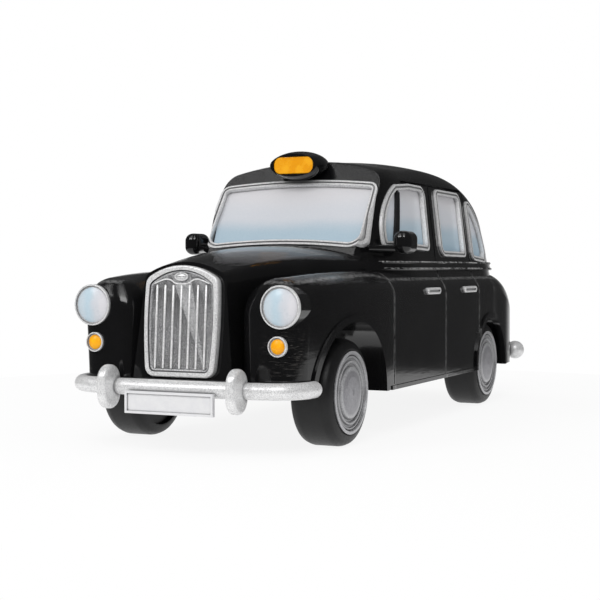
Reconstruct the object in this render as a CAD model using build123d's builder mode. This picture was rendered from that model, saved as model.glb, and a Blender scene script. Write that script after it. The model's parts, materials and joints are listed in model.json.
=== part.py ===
# Die-cast scale model of a classic black taxi cab, rolling on two wire axles. All sizes are in millimetres.
# The origin is on the floor under the middle of the model, +Z is up, the front faces -Y, the left side is +X.

import os
from functools import partial
from math import cos, radians, sin

from build123d import *

os.makedirs("parts", exist_ok=True)

# Stance
LENGTH = 122.0  # over the overriders
FRONT_OVERHANG = 23.0  # from the overriders' fronts to the front axle
REAR_OVERHANG = 25.3
FRONT_Y = -LENGTH / 2
REAR_Y = LENGTH / 2
FRONT_AXLE_Y = FRONT_Y + FRONT_OVERHANG
REAR_AXLE_Y = REAR_Y - REAR_OVERHANG
SILL_Z = 7.9  # underside of the body casting
WALL = 2.0  # thickness of the body casting
FIT_GAP = 0.15  # between the base plate's edge and the casting

# Bumpers and overriders
BUMPER_R = 1.32
BUMPER_CORNER_X = 15.5
BUMPER_TIP_X = 20.5
FRONT_BUMPER_BOW = 0.96  # how far back the front bar has come where it starts to turn
FRONT_BUMPER_SWEEP = 7.4  # how far back its tips are
FRONT_BUMPER_GAP = 0.95  # between the bar and the body
REAR_BUMPER_GAP = 0.2
REAR_BALL_X = 21.1
REAR_BALL_R = 1.7
FRONT_BUMPER_Z = 10.3
REAR_BUMPER_Z = 10.3
OVERRIDER_X = 11.5
OVERRIDER_WIDTH = 1.7
FRONT_OVERRIDER_DEPTH = 4.8
FRONT_OVERRIDER_LEAD = 1.0  # how far their middles are ahead of the bar's
REAR_OVERRIDER_DEPTH = 3.5
OVERRIDER_HEIGHT = 7.0
OVERRIDER_EDGE_R = 0.6
FRONT_BRACKET_X = 14.2
REAR_BRACKET_X = 8.0
BRACKET_WIDTH = 1.6
BRACKET_LENGTH = 4.0
FRONT_BUMPER_Y = FRONT_Y + FRONT_OVERRIDER_DEPTH / 2 + FRONT_OVERRIDER_LEAD
REAR_BUMPER_Y = REAR_Y - REAR_OVERRIDER_DEPTH / 2

# Nose of the body, behind the front bumper
NOSE_Y = FRONT_BUMPER_Y + BUMPER_R + FRONT_BUMPER_GAP  # at the foot of the grille
NOSE_OVERRUN = 0.8  # the bonnet is made this much longer, then trimmed to the grille's plane
GRILLE_FOOT_Z = 11.9
GRILLE_LEAN = 4.0  # degrees from upright
WING_SETBACK = 0.6
WING_FRONT_Y = NOSE_Y + WING_SETBACK
WING_PEAK_LEAD = 2.0  # the wings and the bonnet have a row this far ahead of the axle
WING_PEAK_Y = FRONT_AXLE_Y - WING_PEAK_LEAD

# Lower body from the scuttle to the tail
TUB_HALF = 22.3
TUB_TOP_Z = 28.6
TUB_CROWN = 0.3
TUB_FRONT_Y = -22.0
TAIL_START_Y = 38.0  # the tail falls away from here on a full curve
TAIL_FULLNESS = 0.78  # 1 is a quarter ellipse, less is fuller
TAIL_FOOT_Z = 10.0
TAIL_END_Y = REAR_BUMPER_Y - BUMPER_R - REAR_BUMPER_GAP
# columns: angle round the tail's curve in degrees, how much narrower than the doors, shoulder radius
TAIL_ROWS = [(90, 0.0, 4.5), (68, 0.15, 4.5), (48, 0.7, 4.5), (30, 1.8, 4.0), (14, 3.4, 3.0)]
TAIL_LENGTH = (TAIL_END_Y - TAIL_START_Y) / cos(radians(TAIL_ROWS[-1][0])) ** TAIL_FULLNESS

# Boot between the rear wings
BOOT_HALF = 13.5
BOOT_START_Y = 40.0
BOOT_TOP_Z = 30.8
BOOT_CORNER_R = 2.5
BOOT_CROWN = 0.8
BOOT_FLARE = 1.0  # how much wider the boot is at its foot
BOOT_ANGLES = (90, 66, 44, 24, 10)
BOOT_LENGTH = (TAIL_END_Y - BOOT_START_Y) / cos(radians(BOOT_ANGLES[-1])) ** TAIL_FULLNESS

# Cabin: the sides lean in, the back falls away on a full curve, the front is cut by the windscreen's plane
CABIN_HALF = 20.8  # at the foot
CABIN_FOOT_Z = 27.0
TUMBLEHOME = 0.215  # lean of the sides, mm in for each mm up
CABIN_BACK_START_Y = 10.0
CABIN_BACK_LENGTH = 35.8
ROOF_Z = 50.3
ROOF_CROWN = 2.4  # rise of the roof from its sides to its middle
ROOF_EDGE_R = 3.6
ROOF_FRONT_DROP = 7.0  # how far the roof has fallen at the first front row
CABIN_FRONT_ROWS = [(-26.0, 5.0), (-14.0, 1.5), (-2.0, 0.0)]  # columns: y, how much narrower than the doors
BACK_POWER = 3.1  # fuller than an ellipse, whose power is 2
# columns: share of the way down the back's length, how much narrower than the doors, roof edge radius
CABIN_BACK_ROWS = [
    (0.0, 0.0, ROOF_EDGE_R),
    (0.3, 0.0, ROOF_EDGE_R),
    (0.55, 0.0, ROOF_EDGE_R),
    (0.75, 0.1, 3.4),
    (0.88, 0.5, 3.0),
    (0.96, 1.3, 2.4),
    (0.998, 2.8, 1.6),
]
SCREEN_FOOT_Y = -20.2  # the windscreen's plane passes here at SCREEN_FOOT_Z
SCREEN_FOOT_Z = 33.0
SCREEN_TILT = 35.0  # degrees from upright

# Bonnet. columns: y, half width at the foot, foot z, half width at the shoulder, shoulder z, crown z,
# corner radius
BONNET_ROWS = [
    (NOSE_Y - NOSE_OVERRUN, 9.2, 9.5, 7.0, 27.6, 29.7, 1.6),
    (WING_PEAK_Y, 11.5, 9.5, 10.3, 30.0, 32.0, 2.2),
    (-19.0, 18.5, 9.5, 17.2, 30.9, 33.1, 2.8),
]

# Front wings. columns: y, inner x, outer x, outer x at the foot, foot z, top z
WING_ROWS = [
    (-20.0, 9.5, TUB_HALF, TUB_HALF, SILL_Z, TUB_TOP_Z),
    (WING_PEAK_Y, 9.3, 21.9, 21.5, 8.6, 28.3),
    (WING_FRONT_Y, 8.7, 20.0, 19.0, 9.5, 27.2),
]
WING_INNER_R = 6.2
WING_OUTER_R = 4.8
WING_NOSE_R = 4.4

# Wheels and axles
WHEEL_R = 8.8
TYRE_WIDTH = 7.3
# columns: in from the tyre's face, down from its tread
TYRE_SHOULDER = [(0.0, 1.5), (0.44, 0.44), (1.5, 0.0)]
WHEEL_FACE_X = 21.5
HUB_R = 6.8
HUB_BACK_X = 15.0
AXLE_R = 1.0
AXLE_HALF = 18.6
RUNNING_CLEARANCE = 0.08
# columns: radius, height of the hub's face beyond the tyre's face
HUB_ROWS = [
    (0.0, 0.4),
    (2.6, 0.32),
    (4.2, 0.1),
    (4.4, -0.25),
    (4.7, -0.25),
    (4.9, 0.05),
    (5.2, 0.05),
    (5.35, -0.2),
    (5.6, -0.2),
    (5.75, 0.0),
    (6.0, 0.0),
    (6.1, -0.15),
    (6.3, 0.25),
    (HUB_R, 0.2),
]

# Wheel arches and wells
FRONT_ARCH_BACK, FRONT_ARCH_Z, FRONT_ARCH_R = 0.8, 8.4, 12.0
REAR_ARCH_BACK, REAR_ARCH_Z, REAR_ARCH_R = 0.4, 8.8, 9.8
FRONT_ARCH_Y = FRONT_AXLE_Y + FRONT_ARCH_BACK
REAR_ARCH_Y = REAR_AXLE_Y + REAR_ARCH_BACK
WELL_GAP = 1.8  # clear space round a tyre inside its well
WELL_INNER_X = 12.6
WELL_SKIN_X = 21.2  # the round inside of a well ends here, the arch goes on through the skin
WELL_WALL = 1.4
LIP_WIDTH = 1.1
LIP_PROUD = 0.4
AXLE_SLOT = 4.0  # width of the slots that let the axles in from below

# Belt moulding, sill beads and door shut lines
BELT_FOOT_Z = 28.9
BELT_TOP_Z = 30.1
BELT_PROUD = 0.35
SILL_BEAD_HEIGHT = 0.7
SILL_BEAD_PROUD = 0.25
DOOR_LINE_YS = (-20.7, 6.8, 28.0)
DOOR_TOP_START_Y = -4.0
DOOR_TOP_Z = 45.3
PILLAR_LEAN = 0.27  # the upper shut lines lean back, mm for each mm up
GROOVE_WIDTH = 0.45
GROOVE_DEPTH = 0.45
GROOVE_FOOT_Z = 8.8

# Windows. The side openings are (y, z) points, each with an arc of three points where it is curved.
FRONT_DOOR_ARC = [(-14.2, 33.6), (-12.6, 39.8), (-7.6, 43.9)]
FRONT_DOOR_POINTS = [(-7.6, 43.9), (-1.0, 44.4), (6.9, 44.3), (3.4, 33.0), (-14.2, 33.6)]
REAR_DOOR_POINTS = [(14.3, 44.2), (28.4, 44.1), (25.0, 32.0), (10.9, 32.1)]
QUARTER_ARC = [(32.8, 43.0), (37.9, 38.8), (39.2, 32.3)]
QUARTER_POINTS = [(39.2, 32.3), (37.6, 30.9), (30.1, 31.4), (32.8, 43.0)]
QUARTERLIGHT_BAR_POINTS = [(-5.9, 43.4), (-10.6, 33.7)]
QUARTERLIGHT_BAR_WIDTH = 1.3
WINDOW_CORNER_R = 1.2
QUARTER_CORNER_R = 0.9
PANE_RECESS = 0.5  # pane below the skin
PANE_GAP = 0.2  # between the panes that meet inside a windscreen pillar
BEAD_PROUD = 0.45
BEAD_OUTER = 0.65  # bead on the skin beyond the opening
BEAD_INNER = 0.4  # bead over the pane's edge
BEAD_GROOVE_OUTER = 0.28  # the groove between the two ridges of a bead runs along the opening's edge
BEAD_GROOVE_INNER = 0.06
BEAD_GROOVE_DEPTH = 0.25
SIDE_PRISM_X = 10.0
SIDE_PRISM_LENGTH = 14.0
SCREEN_HALF = 15.6
SCREEN_HALF_TOP = 15.4
SCREEN_START = -0.2  # up the glass from the screen's foot
SCREEN_SAG = 1.1  # rise of the lower edge in the middle
SCREEN_HEIGHT = 13.3
SCREEN_CROWN = 1.0
SCREEN_FOOT_R = 2.4
SCREEN_TOP_R = 1.2
SCREEN_PRISM_DEPTH = 4.0
REAR_WINDOW_Y = 36.0
REAR_WINDOW_DEPTH = 14.0
REAR_WINDOW_Z = 37.6
REAR_WINDOW_WIDTH = 19.0
REAR_WINDOW_HEIGHT = 7.0
REAR_WINDOW_R = 1.6

# Lamps, on black pods at the front
HEADLAMP_X, HEADLAMP_Z, HEADLAMP_R, HEADLAMP_LENS_R = 17.07, 23.1, 3.35, 2.85
SIDE_LAMP_X, SIDE_LAMP_Z, SIDE_LAMP_R, SIDE_LAMP_LENS_R = 16.6, 17.05, 1.6, 1.2
FRONT_LAMPS = [(HEADLAMP_X, HEADLAMP_Z, HEADLAMP_R, HEADLAMP_LENS_R),
               (SIDE_LAMP_X, SIDE_LAMP_Z, SIDE_LAMP_R, SIDE_LAMP_LENS_R)]
POD_SETBACK = 0.1
POD_FRONT_Y = WING_FRONT_Y + POD_SETBACK
POD_DEPTH = 3.6
LENS_SEAT = 0.6  # how deep a lens sits in its pod
RIM_PROUD = 0.55
RIM_STEP = 0.3  # the inner part of a rim is this much lower
RIM_R = 0.1
HEADLAMP_DOME = 0.6
SIDE_LAMP_DOME = 0.4
TAIL_LAMP_X, TAIL_LAMP_Z, TAIL_LAMP_R = 17.6, 18.0, 1.5
TAIL_LAMP_INSET = 3.7  # from the tail's end to the lamp's back
TAIL_LAMP_Y = TAIL_END_Y - TAIL_LAMP_INSET
TAIL_LAMP_LENGTH = 4.2
TAIL_LAMP_EDGE_R = 0.9
LAMP_SOCKET_DEPTH = 8.0

# Base plate, recessed between the casting's sills
PLATE_THICK = 1.2
PLATE_TOP_Z = SILL_Z + PLATE_THICK
PLATE_HALF = 8.9
BEARING_DEPTH = 5.2
BEARING_TOP_Z = 11.6
PLATE_FRONT_Y = FRONT_AXLE_Y - BEARING_DEPTH / 2
PLATE_REAR_INSET = 4.7
PLATE_REAR_Y = TAIL_END_Y - PLATE_REAR_INSET
PLATE_CORNER_R = 0.8
FLOOR_HALF = TUB_HALF - WALL - FIT_GAP
FLOOR_END_GAP = 0.5
FLOOR_FRONT_Y = TUB_FRONT_Y + FLOOR_END_GAP
FLOOR_REAR_Y = REAR_AXLE_Y - WHEEL_R - WELL_GAP - WELL_WALL - FLOOR_END_GAP
APRON_HALF = 6.6
APRON_Z = 9.8
APRON_GAP = 0.6
APRON_FRONT_Y = NOSE_Y + WALL + APRON_GAP
PLINTH_BOSS_YS = (-16.0, 20.0)
BOSS_R = 3.2
BOSS_HEIGHT = 4.0
PLINTH_HOLE_R = 1.25
PLINTH_HOLE_DEPTH = 4.0

# Screws that hold the base plate
FRONT_SCREW_BACK, REAR_SCREW_BACK = 9.0, 10.3  # behind the axles
BASE_SCREW_YS = (FRONT_AXLE_Y + FRONT_SCREW_BACK, REAR_AXLE_Y + REAR_SCREW_BACK)
POST_R = 2.6
SCREW_R = 1.1
SCREW_LENGTH = 7.0
SCREW_HEAD_R = 2.2
SCREW_SLOT = 0.5

# Grille, measured up its own plane from the foot
GRILLE_HALF = 6.5
GRILLE_HALF_MIDDLE = 6.65
GRILLE_HALF_FOOT = 6.1
GRILLE_SHOULDER = 15.4
GRILLE_PEAK = 17.6
GRILLE_CORNER_R = 1.7
GRILLE_FLOOR = 0.4
GRILLE_OUTER_PROUD = 1.2
# columns: distance in from the outline, height of the floor there
GRILLE_STEPS = [(0.75, 0.8), (1.3, GRILLE_FLOOR)]
GRILLE_BEAD_R = 0.3
GRILLE_BARS = 7
GRILLE_PITCH = 1.48
GRILLE_BAR_R = 0.47
GRILLE_BAR_FOOT = 1.45
GRILLE_BAR_TOP = 14.5
GRILLE_BOSS_HEIGHT = 15.8  # up the grille
GRILLE_BOSS_X_R = 1.25
GRILLE_BOSS_Z_R = 0.7
GRILLE_BOSS_PROUD = 0.5

# Number plates and boot handle
NUMBER_PLATE_WIDTH = 15.8
NUMBER_PLATE_HEIGHT = 3.5
NUMBER_PLATE_THICK = 0.7
NUMBER_PLATE_BORDER = 0.38
NUMBER_PLATE_SINK = 0.25
NUMBER_FIELD_WIDTH = NUMBER_PLATE_WIDTH - 2 * NUMBER_PLATE_BORDER
NUMBER_FIELD_HEIGHT = NUMBER_PLATE_HEIGHT - 2 * NUMBER_PLATE_BORDER
FRONT_PLATE_Y = FRONT_BUMPER_Y - BUMPER_R - NUMBER_PLATE_THICK
FRONT_PLATE_Z = 8.1
FRONT_PLATE_TAB_X = 5.0
FRONT_PLATE_TAB = 1.6
REAR_PLATE_PROUD = 1.0
REAR_PLATE_Y = TAIL_END_Y + REAR_PLATE_PROUD
REAR_PLATE_Z = 15.4
REAR_PLATE_DEPTH = 3.4
BOOT_HANDLE_INSET = 1.2
BOOT_HANDLE_Y = TAIL_END_Y - BOOT_HANDLE_INSET
BOOT_HANDLE_Z = 21.6
BOOT_HANDLE_WIDTH = 4.4
BOOT_HANDLE_DEPTH = 2.6
BOOT_HANDLE_HEIGHT = 1.2
BOOT_HANDLE_R = 0.36

# Roof sign, an oval pod with a sunk lens. columns: y, half width, half height, middle z
SIGN_ROWS = [
    (-15.2, 4.75, 2.1, 48.1),
    (-14.2, 5.1, 2.45, 48.1),
    (-8.5, 4.3, 2.3, 48.4),
    (-2.0, 1.0, 0.6, 49.4),
]
SIGN_LENS_WIDTH = 8.1
SIGN_LENS_HEIGHT = 3.2
SIGN_LENS_R = 1.4
SIGN_LENS_SEAT = 0.8
SIGN_LENS_SINK = 0.15
SIGN_LENS_EDGE_R = 0.2

# Door mirrors and handles
MIRROR_X, MIRROR_Y, MIRROR_Z = 21.5, -13.2, 33.7
MIRROR_THICK, MIRROR_LENGTH, MIRROR_HEIGHT = 3.4, 5.6, 4.1
MIRROR_EDGE_R = 1.5
MIRROR_ARM_X, MIRROR_ARM_Y, MIRROR_ARM_Z = 16.4, -18.6, 32.6
MIRROR_ARM_R = 0.6
HANDLE_Z = 24.8
HANDLE_HEIGHT = 1.25
HANDLE_PROUD = 0.45
HANDLE_ROOT = 1.5
HANDLE_EDGE_R = 0.2
HANDLE_SLOT_HEIGHT = 0.4
HANDLE_SLOT_DEPTH = 0.25
HANDLE_SLOT_SHARE = 0.8  # length of the slot beside the handle's
HANDLES = [(-0.8, 7.2), (21.2, 7.8)]  # columns: middle y, length

FROM_FRONT = (Align.CENTER, Align.MIN, Align.CENTER)
FROM_BACK = (Align.CENTER, Align.MAX, Align.CENTER)
FROM_FOOT = (Align.CENTER, Align.CENTER, Align.MIN)
FROM_TOP = (Align.CENTER, Align.CENTER, Align.MAX)


def save(name, part):
    part.label = name
    export_step(part, f"parts/{name}.step")


def mirrored(left):
    # The right-hand twin of a left-hand piece.
    return mirror(left, about=Plane.YZ)


def cross_plane(y):
    # Plane across the car, facing forwards.
    return Plane.XZ.offset(-y)


def arch(y, half_base, base_z, half_top, shoulder_z, crown_z, corner_r):
    # Cross-section at y, the same on both sides, with a crowned top and rounded shoulders.
    with BuildSketch(cross_plane(y)) as outline:
        with BuildLine():
            left, right = (half_top, shoulder_z), (-half_top, shoulder_z)
            Polyline(right, (-half_base, base_z), (half_base, base_z), left)
            ThreePointArc(left, (0, crown_z), right)
        make_face()
        fillet(vertices().group_by(Axis.Y)[-1], corner_r)
    return outline.sketch.face()


def tub_form(inset):
    # Lower body; inset gives the same form that much smaller all round.
    half, top = TUB_HALF - inset, TUB_TOP_Z - inset
    sections = []
    for angle, narrower, shoulder_r in TAIL_ROWS:
        y = TAIL_START_Y + (TAIL_LENGTH - inset) * cos(radians(angle)) ** TAIL_FULLNESS
        z = TAIL_FOOT_Z + (top - TAIL_FOOT_Z) * sin(radians(angle)) ** TAIL_FULLNESS
        sections.append(arch(y, half - narrower, SILL_Z, half - narrower, z - TUB_CROWN, z, shoulder_r))
    with BuildPart() as tub:
        loft(sections)
        extrude(sections[0], amount=TAIL_START_Y - TUB_FRONT_Y, dir=(0, -1, 0))
    return tub.part


def boot_form():
    sections = []
    for angle in BOOT_ANGLES:
        y = BOOT_START_Y + BOOT_LENGTH * cos(radians(angle)) ** TAIL_FULLNESS
        z = TAIL_FOOT_Z + (BOOT_TOP_Z - TAIL_FOOT_Z) * sin(radians(angle)) ** TAIL_FULLNESS
        sections.append(arch(y, BOOT_HALF + BOOT_FLARE, SILL_Z, BOOT_HALF, z - BOOT_CROWN, z, BOOT_CORNER_R))
    with BuildPart() as boot:
        loft(sections)
    return boot.part


def screen_plane(inset):
    # The windscreen's plane, moved inwards by inset. Its x axis is +X, its y axis runs up the glass.
    tilt = radians(SCREEN_TILT)
    normal = Vector(0, -cos(tilt), sin(tilt))
    foot = Vector(0, SCREEN_FOOT_Y, SCREEN_FOOT_Z) - normal * inset
    return Plane(foot, x_dir=(1, 0, 0), z_dir=normal)


def cabin_section(y, inset, crown_z, narrower, edge_r):
    shoulder_z = crown_z - ROOF_CROWN * (crown_z - CABIN_FOOT_Z) / (ROOF_Z - CABIN_FOOT_Z)
    half = CABIN_HALF - inset - narrower
    lean = TUMBLEHOME * (shoulder_z - CABIN_FOOT_Z)
    flare = TUMBLEHOME * inset
    return arch(y, half + flare, CABIN_FOOT_Z - inset, half - lean, shoulder_z, crown_z, edge_r)


def cabin_form(inset):
    roof = ROOF_Z - inset
    sections = []
    for y, narrower in CABIN_FRONT_ROWS:
        share = (CABIN_BACK_START_Y - y) / (CABIN_BACK_START_Y - CABIN_FRONT_ROWS[0][0])
        sections.append(cabin_section(y, inset, roof - ROOF_FRONT_DROP * share**2, narrower, ROOF_EDGE_R))
    for share, narrower, edge_r in CABIN_BACK_ROWS:
        y = CABIN_BACK_START_Y + (CABIN_BACK_LENGTH - inset) * share
        z = CABIN_FOOT_Z + (roof - CABIN_FOOT_Z) * (1 - share**BACK_POWER) ** (1 / BACK_POWER)
        sections.append(cabin_section(y, inset, z, narrower, edge_r))
    with BuildPart() as cabin:
        loft(sections)
        split(bisect_by=screen_plane(inset), keep=Keep.BOTTOM)
    return cabin.part


def nose_plane(inset):
    # The grille's plane, leaning back a little. Its x axis is +X, its y axis runs up the grille.
    lean = radians(GRILLE_LEAN)
    normal = Vector(0, -cos(lean), sin(lean))
    foot = Vector(0, NOSE_Y, GRILLE_FOOT_Z) - normal * inset
    return Plane(foot, x_dir=(1, 0, 0), z_dir=normal)


def bonnet_form(inset):
    sections = []
    for y, half_foot, foot_z, half_top, shoulder_z, crown_z, corner_r in BONNET_ROWS:
        shoulder, crown = shoulder_z - inset, crown_z - inset
        sections.append(arch(y, half_foot - inset, foot_z, half_top - inset, shoulder, crown, corner_r))
    with BuildPart() as bonnet:
        loft(sections)
        split(bisect_by=nose_plane(inset), keep=Keep.BOTTOM)
    return bonnet.part


def wing_form(proud):
    # The left front wing, its outside moved out by proud. Its nose is rounded all round but for the foot.
    sections = []
    for y, inner_x, outer_x, outer_foot_x, foot_z, top_z in WING_ROWS:
        outer_top, outer_foot = (outer_x + proud, top_z), (outer_foot_x + proud, foot_z)
        with BuildSketch(cross_plane(y)) as outline:
            with BuildLine():
                Polyline((inner_x, foot_z), (inner_x, top_z), outer_top, outer_foot, close=True)
            make_face()
            fillet(vertices().group_by(Axis.Y)[-1].sort_by(Axis.X)[0], WING_INNER_R)
            fillet(vertices().group_by(Axis.Y)[-1].sort_by(Axis.X)[-1], WING_OUTER_R)
        sections.append(outline.sketch.face())
    with BuildPart() as wing:
        loft(sections)
        nose = faces().sort_by(Axis.Y)[0]
        fillet(nose.edges().sort_by(Axis.Z)[1:], WING_NOSE_R)
    return wing.part


def arch_bar(y, z, radius, start_x, end_x):
    # Bar through the left side in the shape of a wheel arch, open at the foot.
    with BuildPart() as bar:
        with BuildSketch(Plane.YZ.offset(start_x)):
            with Locations((y, z)):
                Circle(radius)
            with Locations((y, z / 2)):
                Rectangle(2 * radius, z)
        extrude(amount=end_x - start_x)
    return bar.part


def arch_lip(y, z, radius, form):
    # Raised edge of a left wheel arch, as deep as the form it is cut from.
    with BuildPart() as lip:
        add(arch_bar(y, z, radius + LIP_WIDTH, WELL_INNER_X, 2 * TUB_HALF))
        add(form, mode=Mode.INTERSECT)
    return lip.part


def well_round(axle_y, grow):
    # Space for a left wheel inside the skin.
    return arch_bar(axle_y, WHEEL_R, WHEEL_R + WELL_GAP + grow, WELL_INNER_X - grow, WELL_SKIN_X)


def side_prism(outline, grow):
    # Straight bar through the left side of the cabin, with a window outline grown all round.
    with BuildPart() as prism:
        with BuildSketch(Plane.YZ.offset(SIDE_PRISM_X)):
            add(outline)
            if grow:
                offset(amount=grow, kind=Kind.ARC)
        extrude(amount=SIDE_PRISM_LENGTH)
    return prism.part


def screen_prism(grow):
    with BuildPart() as prism:
        with BuildSketch(screen_plane(SCREEN_PRISM_DEPTH)):
            add(windscreen_outline.sketch)
            if grow:
                offset(amount=grow, kind=Kind.ARC)
        extrude(amount=2 * SCREEN_PRISM_DEPTH)
    return prism.part


def rear_window_prism(grow):
    with BuildPart() as prism:
        with BuildSketch(cross_plane(REAR_WINDOW_Y)):
            with Locations((0, REAR_WINDOW_Z)):
                width, height = REAR_WINDOW_WIDTH + 2 * grow, REAR_WINDOW_HEIGHT + 2 * grow
                RectangleRounded(width, height, REAR_WINDOW_R + grow)
        extrude(amount=-REAR_WINDOW_DEPTH)
    return prism.part


with BuildSketch() as front_door_outline:
    with BuildLine():
        ThreePointArc(*FRONT_DOOR_ARC)
        Polyline(*FRONT_DOOR_POINTS)
    make_face()
    fillet(vertices().sort_by(Axis.X)[-2:], WINDOW_CORNER_R)

with BuildSketch() as rear_door_outline:
    with BuildLine():
        Polyline(*REAR_DOOR_POINTS, close=True)
    make_face()
    fillet(vertices(), WINDOW_CORNER_R)

with BuildSketch() as quarter_outline:
    with BuildLine():
        ThreePointArc(*QUARTER_ARC)
        Polyline(*QUARTER_POINTS)
    make_face()
    fillet(vertices().sort_by(Axis.X)[:2], QUARTER_CORNER_R)

with BuildSketch() as windscreen_outline:
    with BuildLine():
        foot_left, foot_right = (SCREEN_HALF, SCREEN_START), (-SCREEN_HALF, SCREEN_START)
        foot = ThreePointArc(foot_right, (0, SCREEN_START + SCREEN_SAG), foot_left)
        top_left, top_right = (SCREEN_HALF_TOP, SCREEN_HEIGHT), (-SCREEN_HALF_TOP, SCREEN_HEIGHT)
        top = ThreePointArc(top_left, (0, SCREEN_HEIGHT + SCREEN_CROWN), top_right)
        Line(foot @ 1, top @ 0)
        Line(top @ 1, foot @ 0)
    make_face()
    fillet(vertices().group_by(Axis.Y)[0], SCREEN_FOOT_R)
    fillet(vertices().group_by(Axis.Y)[-1], SCREEN_TOP_R)

SIDE_OUTLINES = [
    ("front_door_window", front_door_outline.sketch),
    ("rear_door_window", rear_door_outline.sketch),
    ("quarter_window", quarter_outline.sketch),
]

# Forms that several pieces are built on or cut by
tub_skin = tub_form(0)
boot_skin = boot_form()
left_wing = wing_form(0)
cabin_skin = cabin_form(0)
cabin_glass = cabin_form(PANE_RECESS)
cabin_cavity = cabin_form(WALL)
cabin_proud = cabin_form(-BEAD_PROUD)
cabin_groove = cabin_form(BEAD_GROOVE_DEPTH - BEAD_PROUD)
front_lip = arch_lip(FRONT_ARCH_Y, FRONT_ARCH_Z, FRONT_ARCH_R, wing_form(LIP_PROUD))
rear_lip = arch_lip(REAR_ARCH_Y, REAR_ARCH_Z, REAR_ARCH_R, tub_form(-LIP_PROUD))

with BuildPart() as openings:
    for name, outline in SIDE_OUTLINES:
        opening = side_prism(outline, 0)
        add(opening)
        add(mirrored(opening))
    add(screen_prism(0))
    add(rear_window_prism(0))

with BuildPart() as pierced_cabin:
    add(cabin_skin)
    add(openings.part, mode=Mode.SUBTRACT)

# Hollow of the lower casting, with the wells' walls and the screw posts left standing
with BuildPart() as cavity:
    add(tub_form(WALL))
    add(bonnet_form(WALL))
    for axle_y in (FRONT_AXLE_Y, REAR_AXLE_Y):
        walled = well_round(axle_y, WELL_WALL)
        add(walled, mode=Mode.SUBTRACT)
        add(mirrored(walled), mode=Mode.SUBTRACT)
    for y in BASE_SCREW_YS:
        with Locations((0, y, PLATE_TOP_Z)):
            Cylinder(POST_R, ROOF_Z, align=FROM_FOOT, mode=Mode.SUBTRACT)

# Spaces for the left wheels, round inside the skin and arched through it
with BuildPart() as wheel_spaces:
    for axle_y in (FRONT_AXLE_Y, REAR_AXLE_Y):
        add(well_round(axle_y, 0))
    add(arch_bar(FRONT_ARCH_Y, FRONT_ARCH_Z, FRONT_ARCH_R, WELL_INNER_X + WELL_WALL, 2 * TUB_HALF))
    add(arch_bar(REAR_ARCH_Y, REAR_ARCH_Z, REAR_ARCH_R, WELL_INNER_X + WELL_WALL, 2 * TUB_HALF))

# Belt moulding round the cabin and beads along the sills
with BuildPart() as belt:
    add(cabin_form(-BELT_PROUD))
    with Locations((0, 0, BELT_FOOT_Z)):
        Box(LENGTH, LENGTH, BELT_TOP_Z - BELT_FOOT_Z, align=FROM_FOOT, mode=Mode.INTERSECT)

with BuildPart() as sill_beads:
    add(tub_form(-SILL_BEAD_PROUD))
    with Locations((0, (TUB_FRONT_Y + FLOOR_REAR_Y) / 2, SILL_Z)):
        Box(LENGTH, FLOOR_REAR_Y - TUB_FRONT_Y, SILL_BEAD_HEIGHT, align=FROM_FOOT, mode=Mode.INTERSECT)

# Door shut lines, cut only as deep as the grooves: across the lower body, then up the left pillars
with BuildPart() as lower_grooves:
    for y in DOOR_LINE_YS:
        with Locations((0, y, GROOVE_FOOT_Z)):
            Box(LENGTH, GROOVE_WIDTH, BELT_FOOT_Z - GROOVE_FOOT_Z, align=FROM_FOOT)
    add(tub_form(GROOVE_DEPTH), mode=Mode.SUBTRACT)

with BuildPart() as pillar_grooves:
    with BuildSketch(Plane.YZ.offset(SIDE_PRISM_X)):
        with BuildLine():
            shift = PILLAR_LEAN * (DOOR_TOP_Z - BELT_TOP_Z)
            for y in DOOR_LINE_YS[1:]:
                Line((y, BELT_TOP_Z), (y + shift, DOOR_TOP_Z))
            Line((DOOR_TOP_START_Y, DOOR_TOP_Z), (DOOR_LINE_YS[-1] + shift, DOOR_TOP_Z))
        trace(line_width=GROOVE_WIDTH)
    extrude(amount=SIDE_PRISM_LENGTH)
    add(cabin_form(GROOVE_DEPTH), mode=Mode.SUBTRACT)

# Body casting
with BuildPart() as body_shell:
    for form in (tub_skin, boot_skin, cabin_skin, bonnet_form(0), belt.part, sill_beads.part):
        add(form)
    for form in (left_wing, front_lip, rear_lip):
        add(form)
        add(mirrored(form))
    for x, z, pod_r, lens_r in FRONT_LAMPS:
        for side in (-1, 1):
            with Locations(cross_plane(POD_FRONT_Y) * Location((side * x, z, 0))):
                Cylinder(pod_r, POD_DEPTH, align=FROM_TOP)
                Cylinder(pod_r, POD_DEPTH, align=FROM_FOOT, mode=Mode.SUBTRACT)
                Cylinder(lens_r, LENS_SEAT, align=FROM_TOP, mode=Mode.SUBTRACT)
    add(cavity.part, mode=Mode.SUBTRACT)
    add(cabin_cavity, mode=Mode.SUBTRACT)
    add(openings.part, mode=Mode.SUBTRACT)
    add(lower_grooves.part, mode=Mode.SUBTRACT)
    for form in (wheel_spaces.part, pillar_grooves.part):
        add(form, mode=Mode.SUBTRACT)
        add(mirrored(form), mode=Mode.SUBTRACT)
    for axle_y in (FRONT_AXLE_Y, REAR_AXLE_Y):
        with Locations((0, axle_y, 0)):
            Box(4 * WELL_INNER_X, AXLE_SLOT, WHEEL_R + AXLE_SLOT / 2, align=FROM_FOOT, mode=Mode.SUBTRACT)
    for y in BASE_SCREW_YS:
        with Locations((0, y, PLATE_TOP_Z)):
            Cylinder(SCREW_R, SCREW_LENGTH, align=FROM_FOOT, mode=Mode.SUBTRACT)
    for side in (-1, 1):
        with Locations(cross_plane(TAIL_LAMP_Y) * Location((side * TAIL_LAMP_X, TAIL_LAMP_Z, 0))):
            Cylinder(TAIL_LAMP_R, LAMP_SOCKET_DEPTH, align=FROM_TOP, mode=Mode.SUBTRACT)
save("body_shell", body_shell.part)

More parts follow.
